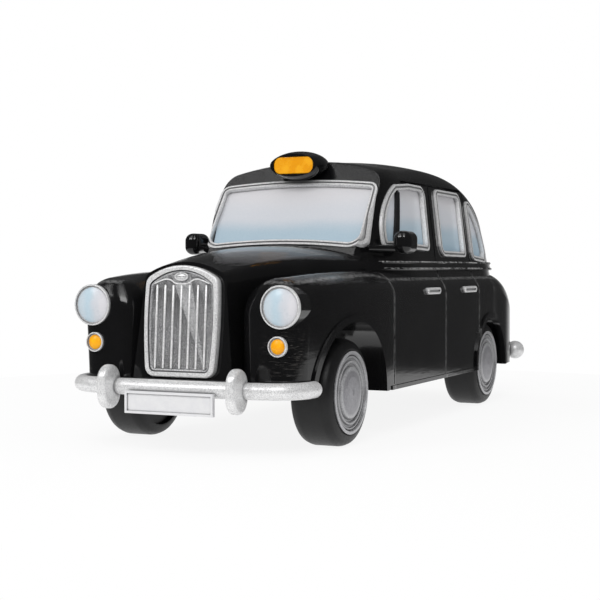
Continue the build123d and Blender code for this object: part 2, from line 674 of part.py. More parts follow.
# Base plate with the axle bearings, the screw holes and the two plinth bosses
with BuildPart() as base_plate:
    with BuildSketch(Plane.XY.offset(SILL_Z)):
        with Locations((0, (PLATE_FRONT_Y + PLATE_REAR_Y) / 2)):
            Rectangle(2 * PLATE_HALF, PLATE_REAR_Y - PLATE_FRONT_Y)
        with Locations((0, (FLOOR_FRONT_Y + FLOOR_REAR_Y) / 2)):
            Rectangle(2 * FLOOR_HALF, FLOOR_REAR_Y - FLOOR_FRONT_Y)
        fillet(vertices(), PLATE_CORNER_R)
    extrude(amount=PLATE_THICK)
    for axle_y in (FRONT_AXLE_Y, REAR_AXLE_Y):
        with Locations((0, axle_y, SILL_Z)):
            Box(2 * PLATE_HALF, BEARING_DEPTH, BEARING_TOP_Z - SILL_Z, align=FROM_FOOT)
    with Locations((0, (APRON_FRONT_Y + PLATE_FRONT_Y) / 2, APRON_Z)):
        Box(2 * APRON_HALF, PLATE_FRONT_Y - APRON_FRONT_Y, PLATE_THICK, align=FROM_FOOT)
    for axle_y in (FRONT_AXLE_Y, REAR_AXLE_Y):
        with Locations(Plane.YZ * Location((axle_y, WHEEL_R, 0))):
            Cylinder(AXLE_R + RUNNING_CLEARANCE, 4 * PLATE_HALF, mode=Mode.SUBTRACT)
    for y in PLINTH_BOSS_YS:
        with Locations((0, y, PLATE_TOP_Z)):
            Cylinder(BOSS_R, BOSS_HEIGHT, align=FROM_FOOT)
        with Locations((0, y, SILL_Z)):
            Cylinder(PLINTH_HOLE_R, PLINTH_HOLE_DEPTH, align=FROM_FOOT, mode=Mode.SUBTRACT)
    for y in BASE_SCREW_YS:
        with Locations((0, y, SILL_Z)):
            Cone(SCREW_HEAD_R, SCREW_R, PLATE_THICK, align=FROM_FOOT, mode=Mode.SUBTRACT)
save("base_plate", base_plate.part)

with BuildPart() as base_screws:
    for y in BASE_SCREW_YS:
        with Locations((0, y, SILL_Z)):
            Cone(SCREW_HEAD_R, SCREW_R, PLATE_THICK, align=FROM_FOOT)
            Box(2 * SCREW_HEAD_R, SCREW_SLOT, SCREW_SLOT, align=FROM_FOOT, mode=Mode.SUBTRACT)
        with Locations((0, y, PLATE_TOP_Z)):
            Cylinder(SCREW_R, SCREW_LENGTH, align=FROM_FOOT)
save("base_screws", base_screws.part)


# Windows and their beads
def pane(prism):
    # Opaque painted window, set back in its reveal.
    with BuildPart() as window:
        add(cabin_glass)
        add(cabin_cavity, mode=Mode.SUBTRACT)
        add(prism, mode=Mode.INTERSECT)
    return window.part


def bead(prism_at):
    # Raised double bead on the skin round an opening, reaching in to the pane.
    with BuildPart() as groove:
        add(prism_at(BEAD_GROOVE_OUTER))
        add(prism_at(-BEAD_GROOVE_INNER), mode=Mode.SUBTRACT)
        add(cabin_groove, mode=Mode.SUBTRACT)
    with BuildPart() as frame:
        add(cabin_proud)
        add(prism_at(BEAD_OUTER), mode=Mode.INTERSECT)
        add(prism_at(-BEAD_INNER), mode=Mode.SUBTRACT)
        add(cabin_glass, mode=Mode.SUBTRACT)
        add(pierced_cabin.part, mode=Mode.SUBTRACT)
        add(groove.part, mode=Mode.SUBTRACT)
    return frame.part


for name, outline in SIDE_OUTLINES:
    with BuildPart() as side_window:
        add(pane(side_prism(outline, 0)))
        add(screen_prism(PANE_GAP), mode=Mode.SUBTRACT)
    save(f"{name}_left", side_window.part)
    save(f"{name}_right", mirrored(side_window.part))

with BuildPart() as side_window_frames:
    for name, outline in SIDE_OUTLINES:
        add(bead(partial(side_prism, outline)))
save("side_window_frames_left", side_window_frames.part)
save("side_window_frames_right", mirrored(side_window_frames.part))

save("windscreen", pane(screen_prism(0)))
windscreen_frame = bead(screen_prism)
save("windscreen_frame", windscreen_frame)
save("rear_window", pane(rear_window_prism(0)))
save("rear_window_frame", bead(rear_window_prism))

with BuildPart() as quarterlight_bar:
    with BuildSketch(Plane.YZ.offset(SIDE_PRISM_X)):
        with BuildLine():
            Line(*QUARTERLIGHT_BAR_POINTS)
        trace(line_width=QUARTERLIGHT_BAR_WIDTH)
    extrude(amount=SIDE_PRISM_LENGTH)
    add(side_prism(front_door_outline.sketch, -BEAD_INNER), mode=Mode.INTERSECT)
    add(cabin_skin, mode=Mode.INTERSECT)
    add(cabin_glass, mode=Mode.SUBTRACT)
save("quarterlight_bar_left", quarterlight_bar.part)
save("quarterlight_bar_right", mirrored(quarterlight_bar.part))

# Grille: a floor with two beads round it, rounded bars and a plain oval boss under the arched top
def grille_outline(inset):
    half, half_middle, half_foot = GRILLE_HALF - inset, GRILLE_HALF_MIDDLE - inset, GRILLE_HALF_FOOT - inset
    shoulder, peak = GRILLE_SHOULDER - inset, GRILLE_PEAK - inset
    with BuildSketch() as outline:
        with BuildLine():
            foot = Line((-half_foot, inset), (half_foot, inset))
            left = ThreePointArc(foot @ 1, (half_middle, shoulder / 2), (half, shoulder))
            right = ThreePointArc(foot @ 0, (-half_middle, shoulder / 2), (-half, shoulder))
            ThreePointArc(left @ 1, (0, peak), right @ 1)
        make_face()
        fillet(vertices(), GRILLE_CORNER_R - inset)
    return outline.sketch


with BuildPart() as grille_surround:
    with BuildSketch(nose_plane(0)):
        add(grille_outline(0))
    extrude(amount=GRILLE_OUTER_PROUD)
    outwards = Axis((0, 0, 0), nose_plane(0).z_dir)
    fillet(faces().sort_by(outwards)[-1].edges(), GRILLE_BEAD_R)
    for inset, floor in GRILLE_STEPS:
        with BuildSketch(nose_plane(-floor)):
            add(grille_outline(inset))
        extrude(amount=GRILLE_OUTER_PROUD, mode=Mode.SUBTRACT)
    with BuildSketch(nose_plane(-GRILLE_FLOOR)):
        with Locations((0, GRILLE_BOSS_HEIGHT)):
            Ellipse(GRILLE_BOSS_X_R, GRILLE_BOSS_Z_R)
    extrude(amount=GRILLE_BOSS_PROUD)
save("grille_surround", grille_surround.part)

with BuildPart() as grille_slats:
    for bar in range(GRILLE_BARS):
        bar_x = (bar - (GRILLE_BARS - 1) / 2) * GRILLE_PITCH
        with Locations(nose_plane(-GRILLE_FLOOR) * Location((bar_x, GRILLE_BAR_FOOT, 0), (-90, 0, 0))):
            Cylinder(GRILLE_BAR_R, GRILLE_BAR_TOP - GRILLE_BAR_FOOT, align=FROM_FOOT)
    add(grille_surround.part, mode=Mode.SUBTRACT)
    split(bisect_by=nose_plane(-GRILLE_FLOOR), keep=Keep.TOP)
save("grille_slats", grille_slats.part)


# Lamps
def lamp_rim(x, z, rim_r, lens_r):
    # Stepped ring on the face of a left pod.
    seat = cross_plane(POD_FRONT_Y) * Location((x, z, 0))
    with BuildPart() as rim:
        with Locations(seat):
            Cylinder(rim_r, RIM_PROUD, align=FROM_FOOT)
        fillet(faces().sort_by(Axis.Y)[0].edges(), RIM_R)
        with Locations(cross_plane(POD_FRONT_Y - RIM_PROUD + RIM_STEP) * Location((x, z, 0))):
            Cylinder((rim_r + lens_r) / 2, RIM_PROUD, align=FROM_FOOT, mode=Mode.SUBTRACT)
        with Locations(seat):
            Cylinder(lens_r, RIM_PROUD, align=FROM_FOOT, mode=Mode.SUBTRACT)
    return rim.part


def lamp_lens(x, z, lens_r, dome):
    # Lens of a left lamp in its seat, domed over the rim's inner step.
    cap_r = (lens_r**2 + dome**2) / (2 * dome)
    front_y = POD_FRONT_Y - RIM_PROUD + RIM_STEP - dome
    with BuildPart() as lens:
        with Locations(cross_plane(POD_FRONT_Y + LENS_SEAT) * Location((x, z, 0))):
            Cylinder(lens_r, POD_DEPTH, align=FROM_FOOT)
        with Locations((x, front_y + cap_r, z)):
            Sphere(cap_r, mode=Mode.INTERSECT)
    return lens.part


headlamp_rim = lamp_rim(HEADLAMP_X, HEADLAMP_Z, HEADLAMP_R, HEADLAMP_LENS_R)
save("headlamp_rim_left", headlamp_rim)
save("headlamp_rim_right", mirrored(headlamp_rim))

headlamp_lens = lamp_lens(HEADLAMP_X, HEADLAMP_Z, HEADLAMP_LENS_R, HEADLAMP_DOME)
save("headlamp_lens_left", headlamp_lens)
save("headlamp_lens_right", mirrored(headlamp_lens))

side_lamp_rim = lamp_rim(SIDE_LAMP_X, SIDE_LAMP_Z, SIDE_LAMP_R, SIDE_LAMP_LENS_R)
save("side_lamp_rim_left", side_lamp_rim)
save("side_lamp_rim_right", mirrored(side_lamp_rim))

side_lamp_lens = lamp_lens(SIDE_LAMP_X, SIDE_LAMP_Z, SIDE_LAMP_LENS_R, SIDE_LAMP_DOME)
save("side_lamp_lens_left", side_lamp_lens)
save("side_lamp_lens_right", mirrored(side_lamp_lens))

with BuildPart() as tail_lamp:
    with BuildSketch(cross_plane(TAIL_LAMP_Y)):
        with Locations((TAIL_LAMP_X, TAIL_LAMP_Z)):
            Circle(TAIL_LAMP_R)
    extrude(amount=-TAIL_LAMP_LENGTH)
    fillet(faces().sort_by(Axis.Y)[-1].edges(), TAIL_LAMP_EDGE_R)
save("tail_lamp_left", tail_lamp.part)
save("tail_lamp_right", mirrored(tail_lamp.part))


# Bumpers, overriders and number plates
def overriders(middle_y, z, depth):
    # Pair of upright rounded plates astride a bumper.
    with BuildPart() as pair:
        for side in (-1, 1):
            with BuildSketch(Plane.YZ.offset(side * OVERRIDER_X - OVERRIDER_WIDTH / 2)):
                with Locations((middle_y, z)):
                    SlotOverall(OVERRIDER_HEIGHT, depth, rotation=90)
            extrude(amount=OVERRIDER_WIDTH)
        fillet(edges(), OVERRIDER_EDGE_R)
    return pair.part


with BuildPart() as front_bumper:
    corner_y, tip_y = FRONT_BUMPER_Y + FRONT_BUMPER_BOW, FRONT_BUMPER_Y + FRONT_BUMPER_SWEEP
    with BuildLine(Plane.XY.offset(FRONT_BUMPER_Z)):
        middle = ThreePointArc((-BUMPER_CORNER_X, corner_y), (0, FRONT_BUMPER_Y), (BUMPER_CORNER_X, corner_y))
        TangentArc(middle @ 1, (BUMPER_TIP_X, tip_y), tangent=middle % 1)
        TangentArc(middle @ 0, (-BUMPER_TIP_X, tip_y), tangent=(middle % 0) * -1)
    with BuildSketch(Plane((0, FRONT_BUMPER_Y, FRONT_BUMPER_Z), x_dir=(0, 1, 0), z_dir=(1, 0, 0))):
        Circle(BUMPER_R)
    sweep()
    for side in (-1, 1):
        with Locations((side * BUMPER_TIP_X, tip_y, FRONT_BUMPER_Z)):
            Sphere(BUMPER_R)
        with Locations((side * FRONT_BRACKET_X, FRONT_BUMPER_Y, FRONT_BUMPER_Z)):
            Box(BRACKET_WIDTH, BRACKET_LENGTH, BRACKET_WIDTH, align=FROM_FRONT)
    for form in (left_wing, front_lip):
        add(form, mode=Mode.SUBTRACT)
        add(mirrored(form), mode=Mode.SUBTRACT)
save("front_bumper", front_bumper.part)

with BuildPart() as front_overriders:
    add(overriders(FRONT_BUMPER_Y - FRONT_OVERRIDER_LEAD, FRONT_BUMPER_Z, FRONT_OVERRIDER_DEPTH))
    add(front_bumper.part, mode=Mode.SUBTRACT)
save("front_overriders", front_overriders.part)

with BuildPart() as front_number_plate:
    with Locations((0, FRONT_PLATE_Y, FRONT_PLATE_Z)):
        Box(NUMBER_PLATE_WIDTH, NUMBER_PLATE_THICK, NUMBER_PLATE_HEIGHT, align=FROM_FRONT)
        Box(NUMBER_FIELD_WIDTH, 2 * NUMBER_PLATE_SINK, NUMBER_FIELD_HEIGHT, mode=Mode.SUBTRACT)
    for side in (-1, 1):
        with Locations((side * FRONT_PLATE_TAB_X, FRONT_BUMPER_Y, FRONT_PLATE_Z)):
            Box(FRONT_PLATE_TAB, BUMPER_R, NUMBER_PLATE_HEIGHT, align=FROM_BACK)
    add(front_bumper.part, mode=Mode.SUBTRACT)
save("front_number_plate", front_number_plate.part)

with BuildPart() as rear_bumper:
    with BuildSketch(cross_plane(REAR_BUMPER_Y)):
        with Locations((0, REAR_BUMPER_Z)):
            Rectangle(2 * REAR_BALL_X, 2 * BUMPER_R)
        with Locations((-REAR_BALL_X, REAR_BUMPER_Z), (REAR_BALL_X, REAR_BUMPER_Z)):
            Circle(REAR_BALL_R)
        with Locations((0, REAR_BUMPER_Z)):
            Rectangle(LENGTH, LENGTH, align=(Align.CENTER, Align.MAX), mode=Mode.SUBTRACT)
    revolve(axis=Axis((0, REAR_BUMPER_Y, REAR_BUMPER_Z), (1, 0, 0)))
    for side in (-1, 1):
        with Locations((side * REAR_BRACKET_X, REAR_BUMPER_Y, REAR_BUMPER_Z)):
            Box(BRACKET_WIDTH, REAR_BUMPER_Y - TAIL_END_Y, BRACKET_WIDTH, align=FROM_BACK)
save("rear_bumper", rear_bumper.part)

with BuildPart() as rear_overriders:
    add(overriders(REAR_BUMPER_Y, REAR_BUMPER_Z, REAR_OVERRIDER_DEPTH))
    add(rear_bumper.part, mode=Mode.SUBTRACT)
    add(tub_skin, mode=Mode.SUBTRACT)
    add(boot_skin, mode=Mode.SUBTRACT)
save("rear_overriders", rear_overriders.part)

with BuildPart() as rear_number_plate:
    with Locations((0, REAR_PLATE_Y, REAR_PLATE_Z)):
        Box(NUMBER_PLATE_WIDTH, REAR_PLATE_DEPTH, NUMBER_PLATE_HEIGHT, align=FROM_BACK)
        Box(NUMBER_FIELD_WIDTH, 2 * NUMBER_PLATE_SINK, NUMBER_FIELD_HEIGHT, mode=Mode.SUBTRACT)
    add(tub_skin, mode=Mode.SUBTRACT)
    add(boot_skin, mode=Mode.SUBTRACT)
save("rear_number_plate", rear_number_plate.part)

with BuildPart() as boot_handle:
    with Locations((0, BOOT_HANDLE_Y, BOOT_HANDLE_Z)):
        Box(BOOT_HANDLE_WIDTH, BOOT_HANDLE_DEPTH, BOOT_HANDLE_HEIGHT)
    fillet(edges(), BOOT_HANDLE_R)
    add(boot_skin, mode=Mode.SUBTRACT)
save("boot_handle", boot_handle.part)

# Roof sign with a blank lens
with BuildSketch(cross_plane(SIGN_ROWS[0][0])) as sign_lens_outline:
    with Locations((0, SIGN_ROWS[0][-1])):
        RectangleRounded(SIGN_LENS_WIDTH, SIGN_LENS_HEIGHT, SIGN_LENS_R)

with BuildPart() as roof_sign_housing:
    for y, half_width, half_height, middle_z in SIGN_ROWS:
        with BuildSketch(cross_plane(y)):
            with Locations((0, middle_z)):
                Ellipse(half_width, half_height)
    loft()
    add(cabin_skin, mode=Mode.SUBTRACT)
    extrude(sign_lens_outline.sketch, amount=-SIGN_LENS_SEAT, mode=Mode.SUBTRACT)
    add(windscreen_frame, mode=Mode.SUBTRACT)
save("roof_sign_housing", roof_sign_housing.part)

with BuildPart() as roof_sign_lens:
    extrude(sign_lens_outline.sketch, amount=-SIGN_LENS_SEAT)
    extrude(sign_lens_outline.sketch, amount=-SIGN_LENS_SINK, mode=Mode.SUBTRACT)
    fillet(faces().sort_by(Axis.Y)[0].edges(), SIGN_LENS_EDGE_R)
save("roof_sign_lens", roof_sign_lens.part)

# Door mirrors and handles
with BuildPart() as door_mirror:
    with Locations((MIRROR_X, MIRROR_Y, MIRROR_Z)):
        Box(MIRROR_THICK, MIRROR_LENGTH, MIRROR_HEIGHT)
    fillet(edges(), MIRROR_EDGE_R)
    with BuildLine():
        arm = Line((MIRROR_X, MIRROR_Y, MIRROR_ARM_Z), (MIRROR_ARM_X, MIRROR_ARM_Y, MIRROR_ARM_Z))
    with BuildSketch(Plane(arm @ 0, z_dir=arm % 0)):
        Circle(MIRROR_ARM_R)
    sweep()
    add(cabin_skin, mode=Mode.SUBTRACT)
save("door_mirror_left", door_mirror.part)
save("door_mirror_right", mirrored(door_mirror.part))

with BuildPart() as door_handles:
    for y, length in HANDLES:
        with BuildSketch(Plane.YZ.offset(TUB_HALF - HANDLE_ROOT)):
            with Locations((y, HANDLE_Z)):
                SlotOverall(length, HANDLE_HEIGHT)
        extrude(amount=HANDLE_ROOT + HANDLE_PROUD)
    fillet(faces().filter_by(Axis.X).group_by(Axis.X)[-1].edges(), HANDLE_EDGE_R)
    for y, length in HANDLES:
        with BuildSketch(Plane.YZ.offset(TUB_HALF + HANDLE_PROUD)):
            with Locations((y, HANDLE_Z)):
                SlotOverall(length * HANDLE_SLOT_SHARE, HANDLE_SLOT_HEIGHT)
        extrude(amount=-HANDLE_SLOT_DEPTH, mode=Mode.SUBTRACT)
    add(tub_skin, mode=Mode.SUBTRACT)
save("door_handles_left", door_handles.part)
save("door_handles_right", mirrored(door_handles.part))

# Wheels: wire axles with pressed-on hubs and push-fit tyres
with BuildPart() as tyre_blank:
    with BuildSketch(Plane.XZ):
        with BuildLine():
            inner_x = WHEEL_FACE_X - TYRE_WIDTH
            outside = [(WHEEL_FACE_X - inset, WHEEL_R - drop) for inset, drop in TYRE_SHOULDER]
            inside = [(inner_x + inset, WHEEL_R - drop) for inset, drop in reversed(TYRE_SHOULDER)]
            Polyline((WHEEL_FACE_X, HUB_R), *outside, *inside, (inner_x, HUB_R), close=True)
        make_face()
    revolve(axis=Axis.X)

with BuildPart() as hub_blank:
    with BuildSketch(Plane.XZ):
        with BuildLine():
            face_points = [(WHEEL_FACE_X + height, radius) for radius, height in HUB_ROWS]
            Polyline(*face_points, (HUB_BACK_X, HUB_R), (HUB_BACK_X, 0), close=True)
        make_face()
        with Locations((AXLE_HALF / 2, 0)):
            Rectangle(AXLE_HALF, 2 * AXLE_R, mode=Mode.SUBTRACT)
    revolve(axis=Axis.X)

for end, axle_y in [("front", FRONT_AXLE_Y), ("rear", REAR_AXLE_Y)]:
    with BuildPart() as axle:
        with Locations(Plane.YZ * Location((axle_y, WHEEL_R, 0))):
            Cylinder(AXLE_R, 2 * AXLE_HALF)
    save(f"{end}_axle", axle.part)
    for kind, blank in [("tyre", tyre_blank.part), ("hub", hub_blank.part)]:
        left_piece = blank.moved(Location((0, axle_y, WHEEL_R)))
        save(f"{end}_{kind}_left", left_piece)
        save(f"{end}_{kind}_right", mirrored(left_piece))
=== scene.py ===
import json
import math

import bpy
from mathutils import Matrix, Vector


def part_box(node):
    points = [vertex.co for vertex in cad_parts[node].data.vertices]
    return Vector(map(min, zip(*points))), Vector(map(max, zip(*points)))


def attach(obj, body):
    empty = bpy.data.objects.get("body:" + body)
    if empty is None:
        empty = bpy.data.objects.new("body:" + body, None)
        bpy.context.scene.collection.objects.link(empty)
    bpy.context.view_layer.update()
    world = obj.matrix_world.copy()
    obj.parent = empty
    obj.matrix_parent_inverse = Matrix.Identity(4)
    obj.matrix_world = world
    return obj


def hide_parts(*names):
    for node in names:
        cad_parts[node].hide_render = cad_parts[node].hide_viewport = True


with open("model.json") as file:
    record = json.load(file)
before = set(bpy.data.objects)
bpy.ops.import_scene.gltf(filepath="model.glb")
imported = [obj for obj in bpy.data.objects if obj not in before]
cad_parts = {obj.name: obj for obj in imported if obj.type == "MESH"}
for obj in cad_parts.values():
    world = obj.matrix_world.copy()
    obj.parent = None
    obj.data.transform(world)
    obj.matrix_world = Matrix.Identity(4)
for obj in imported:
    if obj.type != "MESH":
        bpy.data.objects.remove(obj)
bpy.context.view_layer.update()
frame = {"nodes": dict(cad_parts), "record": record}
nodes = frame["nodes"]
print("cab loaded,", len(nodes), "nodes")

# the camera stands where the photograph was taken from
cameraSetup = {
    "azimuth": 24.54,  # degrees round from the front, towards the cab's left side
    "elevation": 1.59,
    "distance": 0.25147,
    "lookAt": (0.0, -0.00225, 0.022),
    "lens": 77.57,
    "sensorWidth": 36.0,
    "shiftX": -0.0367,
    "shiftY": 0.00755,
    "nearest": 0.005,
    "farthest": 20.0,
}


def placeCamera(setup):
    a = math.radians(setup["azimuth"])
    e = math.radians(setup["elevation"])
    back = Vector((math.sin(a) * math.cos(e), -math.cos(a) * math.cos(e), math.sin(e)))
    bpy.ops.object.camera_add(location=Vector(setup["lookAt"]) + back * setup["distance"])
    camera = bpy.context.object
    camera.rotation_mode = "QUATERNION"
    camera.rotation_quaternion = (-back).to_track_quat("-Z", "Y")
    camera.data.lens = setup["lens"]
    camera.data.sensor_width = setup["sensorWidth"]
    camera.data.shift_x = setup["shiftX"]
    camera.data.shift_y = setup["shiftY"]
    camera.data.clip_start = setup["nearest"]
    camera.data.clip_end = setup["farthest"]
    bpy.context.scene.camera = camera


placeCamera(cameraSetup)
print("camera placed")

# most of a noise's values lie in this span
noiseSpan = (0.3, 0.7)


# small helpers for node trees, all on Object coordinates in metres
def newMaterial(name):
    mat = bpy.data.materials.new(name)
    mat.use_nodes = True
    tree = mat.node_tree
    return mat, tree, tree.nodes["Principled BSDF"]


def node(tree, kind, **settings):
    made = tree.nodes.new(kind)
    for key, value in settings.items():
        setattr(made, key, value)
    return made


def objectCoords(tree, centre=(0, 0, 0), scale=(1, 1, 1)):
    coords = node(tree, "ShaderNodeTexCoord")
    mapping = node(tree, "ShaderNodeMapping", vector_type="POINT")
    mapping.inputs["Location"].default_value = [-c * s for c, s in zip(centre, scale)]
    mapping.inputs["Scale"].default_value = scale
    tree.links.new(coords.outputs["Object"], mapping.inputs["Vector"])
    return mapping.outputs["Vector"]


def noise(tree, vector, scale, detail=3.0, rough=0.5):
    made = node(tree, "ShaderNodeTexNoise")
    made.inputs["Scale"].default_value = scale
    made.inputs["Detail"].default_value = detail
    made.inputs["Roughness"].default_value = rough
    tree.links.new(vector, made.inputs["Vector"])
    return made.outputs["Fac"]


def ramp(tree, value, stops, interpolation="EASE"):
    made = node(tree, "ShaderNodeValToRGB")
    made.color_ramp.interpolation = interpolation
    elements = made.color_ramp.elements
    while len(elements) < len(stops):
        elements.new(0.5)
    for element, (position, colour) in zip(elements, stops):
        element.position = position
        element.color = (*colour, 1.0)
    tree.links.new(value, made.inputs["Fac"])
    return made.outputs["Color"]


def mapRange(tree, value, low, high, toLow=0.0, toHigh=1.0):
    made = node(tree, "ShaderNodeMapRange")
    made.inputs["From Min"].default_value = low
    made.inputs["From Max"].default_value = high
    made.inputs["To Min"].default_value = toLow
    made.inputs["To Max"].default_value = toHigh
    tree.links.new(value, made.inputs["Value"])
    return made.outputs["Result"]


def axisOf(tree, vector, axis):
    made = node(tree, "ShaderNodeSeparateXYZ")
    tree.links.new(vector, made.inputs["Vector"])
    return made.outputs[axis]


def lengthOf(tree, vector):
    made = node(tree, "ShaderNodeVectorMath", operation="LENGTH")
    tree.links.new(vector, made.inputs[0])
    return made.outputs["Value"]


def maths(tree, operation, a, b=None):
    made = node(tree, "ShaderNodeMath", operation=operation)
    for socket, value in zip(made.inputs, (a, b)):
        if value is None:
            continue
        if isinstance(value, (int, float)):
            socket.default_value = value
        else:
            tree.links.new(value, socket)
    return made.outputs["Value"]


def times(tree, product, *factors):
    for factor in factors:
        product = maths(tree, "MULTIPLY", product, factor)
    return product


def apart(tree, a, b):
    return maths(tree, "ABSOLUTE", maths(tree, "SUBTRACT", a, b))


def drifted(tree, value, drift, share):
    # moves a value up and down by a noise round its middle
    return maths(tree, "ADD", value, times(tree, maths(tree, "SUBTRACT", drift, 0.5), share))


def openness(tree, reach):
    made = node(tree, "ShaderNodeAmbientOcclusion", samples=8)
    made.inputs["Distance"].default_value = reach
    return made.outputs["AO"]


def upward(tree):
    return axisOf(tree, node(tree, "ShaderNodeNewGeometry").outputs["Normal"], "Z")


def mixColour(tree, factor, a, b, blend="MIX"):
    made = node(tree, "ShaderNodeMix", data_type="RGBA", blend_type=blend)
    # a colour mix takes its factor and its two colours in these sockets
    for number, value in ((0, factor), (6, a), (7, b)):
        if isinstance(value, (int, float)):
            made.inputs[number].default_value = value
        elif isinstance(value, tuple):
            made.inputs[number].default_value = (*value, 1.0)
        else:
            tree.links.new(value, made.inputs[number])
    return made.outputs[2]


def coat(tree, shader, colour, roughness):
    tree.links.new(colour, shader.inputs["Base Color"])
    tree.links.new(roughness, shader.inputs["Roughness"])


def bump(tree, shader, height, strength, distance):
    made = node(tree, "ShaderNodeBump")
    made.inputs["Strength"].default_value = strength
    made.inputs["Distance"].default_value = distance
    tree.links.new(height, made.inputs["Height"])
    tree.links.new(made.outputs["Normal"], shader.inputs["Normal"])


def srgb(*colour):
    return tuple(((c / 255 + 0.055) / 1.055) ** 2.4 if c > 10 else c / 255 / 12.92 for c in colour)


# black gloss paint with the mould's fine steps and painted highlights on their crests, pale along
# the shut lines (wear with a painted highlight of their edges) and with painted highlights where
# the shoulders turn over
blackPaint = {
    "tones": [(0.3, srgb(12, 12, 13)), (0.75, srgb(18, 18, 19))],
    "cloudScale": 90.0,
    "cloudSpan": (0.2, 0.8),
    "roughness": (0.08, 0.13),
    "specular": 0.5,
    "paleWearAndHighlight": srgb(150, 150, 150),
    "speckleScale": 1400.0,
    "speckleSpan": (0.3, 0.6),
    "shutLines": (-0.0207, 0.0068, 0.0280),
    "shutLineEdge": (0.0002, 0.0006),
    "shutLineTop": (0.0284, 0.0279),
    "shutLineShare": 0.42,
    "shoulderLow": 0.0245,  # wings and doors get a painted highlight where their tops turn over
    "shoulderHigh": 0.0288,
    "shoulderFrom": 0.0130,  # out from the middle
    "shoulderRun": (-0.0260, -0.0200),  # along the cab, from the wing's slope to the door's
    "shoulderSlopes": (0.84, 0.70),
    "shoulderEdge": (0.02, 0.08),
    "shoulderShare": 0.45,
    "scuff": (0.0180, -0.0545, 0.0160),  # middle of the scuffed patch beside a side lamp
    "scuffRadius": 0.0050,
    "scuffCore": 0.2,  # share of the radius that is scuffed in full
    "scuffScale": (700, 700, 5200),
    "scuffRough": 0.65,
    "scuffSpan": (0.54, 0.68),
    "scuffShare": 0.6,
    "scuffed": srgb(92, 89, 86),
    "rippleStep": 0.00015,  # height between two of the mould's fine steps
    "rippleRise": (0.35, 0.85),  # how far the surface looks up where the steps come and go
    "rippleFade": (0.97, 0.998, 1.0, 0.25),
    "lineRise": (0.8, 0.93),  # the same for the painted highlights on their crests
    "lineFade": (0.965, 0.995, 1.0, 0.0),
    "lineCrest": (0.3, 1.0),
    "linePatches": (0.4, 0.6),
    "lineShare": 0.45,
    "rippleHighlight": srgb(112, 112, 114),
    "fleckScale": (240, 240, 1500),
    "fleckShare": 0.3,
    "bump": (0.7, 0.00003),
}


def makeBlackPaint(name, setup):
    mat, tree, shader = newMaterial(name)
    coords = objectCoords(tree)
    x, y, z = (axisOf(tree, coords, axis) for axis in "XYZ")
    up = upward(tree)
    cloud = noise(tree, coords, setup["cloudScale"], 4.0)
    base = ramp(tree, cloud, setup["tones"])
    speckle = mapRange(tree, noise(tree, coords, setup["speckleScale"]), *setup["speckleSpan"])

    # pale shut lines: partly wear, partly a painted highlight of the groove edges
    shutLineWearAndHighlight = None
    for line in setup["shutLines"]:
        edge = mapRange(tree, apart(tree, y, line), *setup["shutLineEdge"], 1.0, 0.0)
        shutLineWearAndHighlight = edge if shutLineWearAndHighlight is None else maths(tree, "MAXIMUM", shutLineWearAndHighlight, edge)
    below = mapRange(tree, z, *setup["shutLineTop"])
    shutLineWearAndHighlight = times(tree, shutLineWearAndHighlight, below, speckle, setup["shutLineShare"])
    base = mixColour(tree, shutLineWearAndHighlight, base, setup["paleWearAndHighlight"])

    stretched = objectCoords(tree, scale=setup["scuffScale"])
    streak = noise(tree, stretched, 1.0, 4.0, setup["scuffRough"])
    away = lengthOf(tree, objectCoords(tree, centre=setup["scuff"]))
    radius = setup["scuffRadius"]
    patch = mapRange(tree, away, radius, setup["scuffCore"] * radius)
    scratch = times(tree, mapRange(tree, streak, *setup["scuffSpan"]), patch, setup["scuffShare"])
    base = mixColour(tree, scratch, base, setup["scuffed"])

    # painted highlight along the shoulders, where the surface looks up at a given slope
    slope = mapRange(tree, y, *setup["shoulderRun"], *setup["shoulderSlopes"])
    edge = mapRange(tree, apart(tree, up, slope), *setup["shoulderEdge"], 1.0, 0.0)
    above = maths(tree, "GREATER_THAN", z, setup["shoulderLow"])
    under = maths(tree, "LESS_THAN", z, setup["shoulderHigh"])
    outside = maths(tree, "GREATER_THAN", maths(tree, "ABSOLUTE", x), setup["shoulderFrom"])
    edge = times(tree, edge, above, under, outside, speckle, setup["shoulderShare"])
    base = mixColour(tree, edge, base, setup["paleWearAndHighlight"])

    # the mould's steps; the pale lines on their crests are painted highlights where the surface
    # slopes up
    steps = maths(tree, "SINE", times(tree, z, 2 * math.pi / setup["rippleStep"]))
    sloping = times(tree, mapRange(tree, up, *setup["lineRise"]),
                    mapRange(tree, up, *setup["lineFade"]))
    lines = times(tree, mapRange(tree, steps, *setup["lineCrest"]), sloping,
                  mapRange(tree, cloud, *setup["linePatches"]), setup["lineShare"])
    base = mixColour(tree, lines, base, setup["rippleHighlight"])

    coat(tree, shader, base, mapRange(tree, cloud, *setup["cloudSpan"], *setup["roughness"]))
    shader.inputs["Specular IOR Level"].default_value = setup["specular"]
    level = times(tree, mapRange(tree, up, *setup["rippleRise"]),
                  mapRange(tree, up, *setup["rippleFade"]))
    fleck = noise(tree, objectCoords(tree, scale=setup["fleckScale"]), 1.0, 2.0)
    height = maths(tree, "ADD", times(tree, steps, level), times(tree, fleck, setup["fleckShare"]))
    bump(tree, shader, height, *setup["bump"])
    return mat
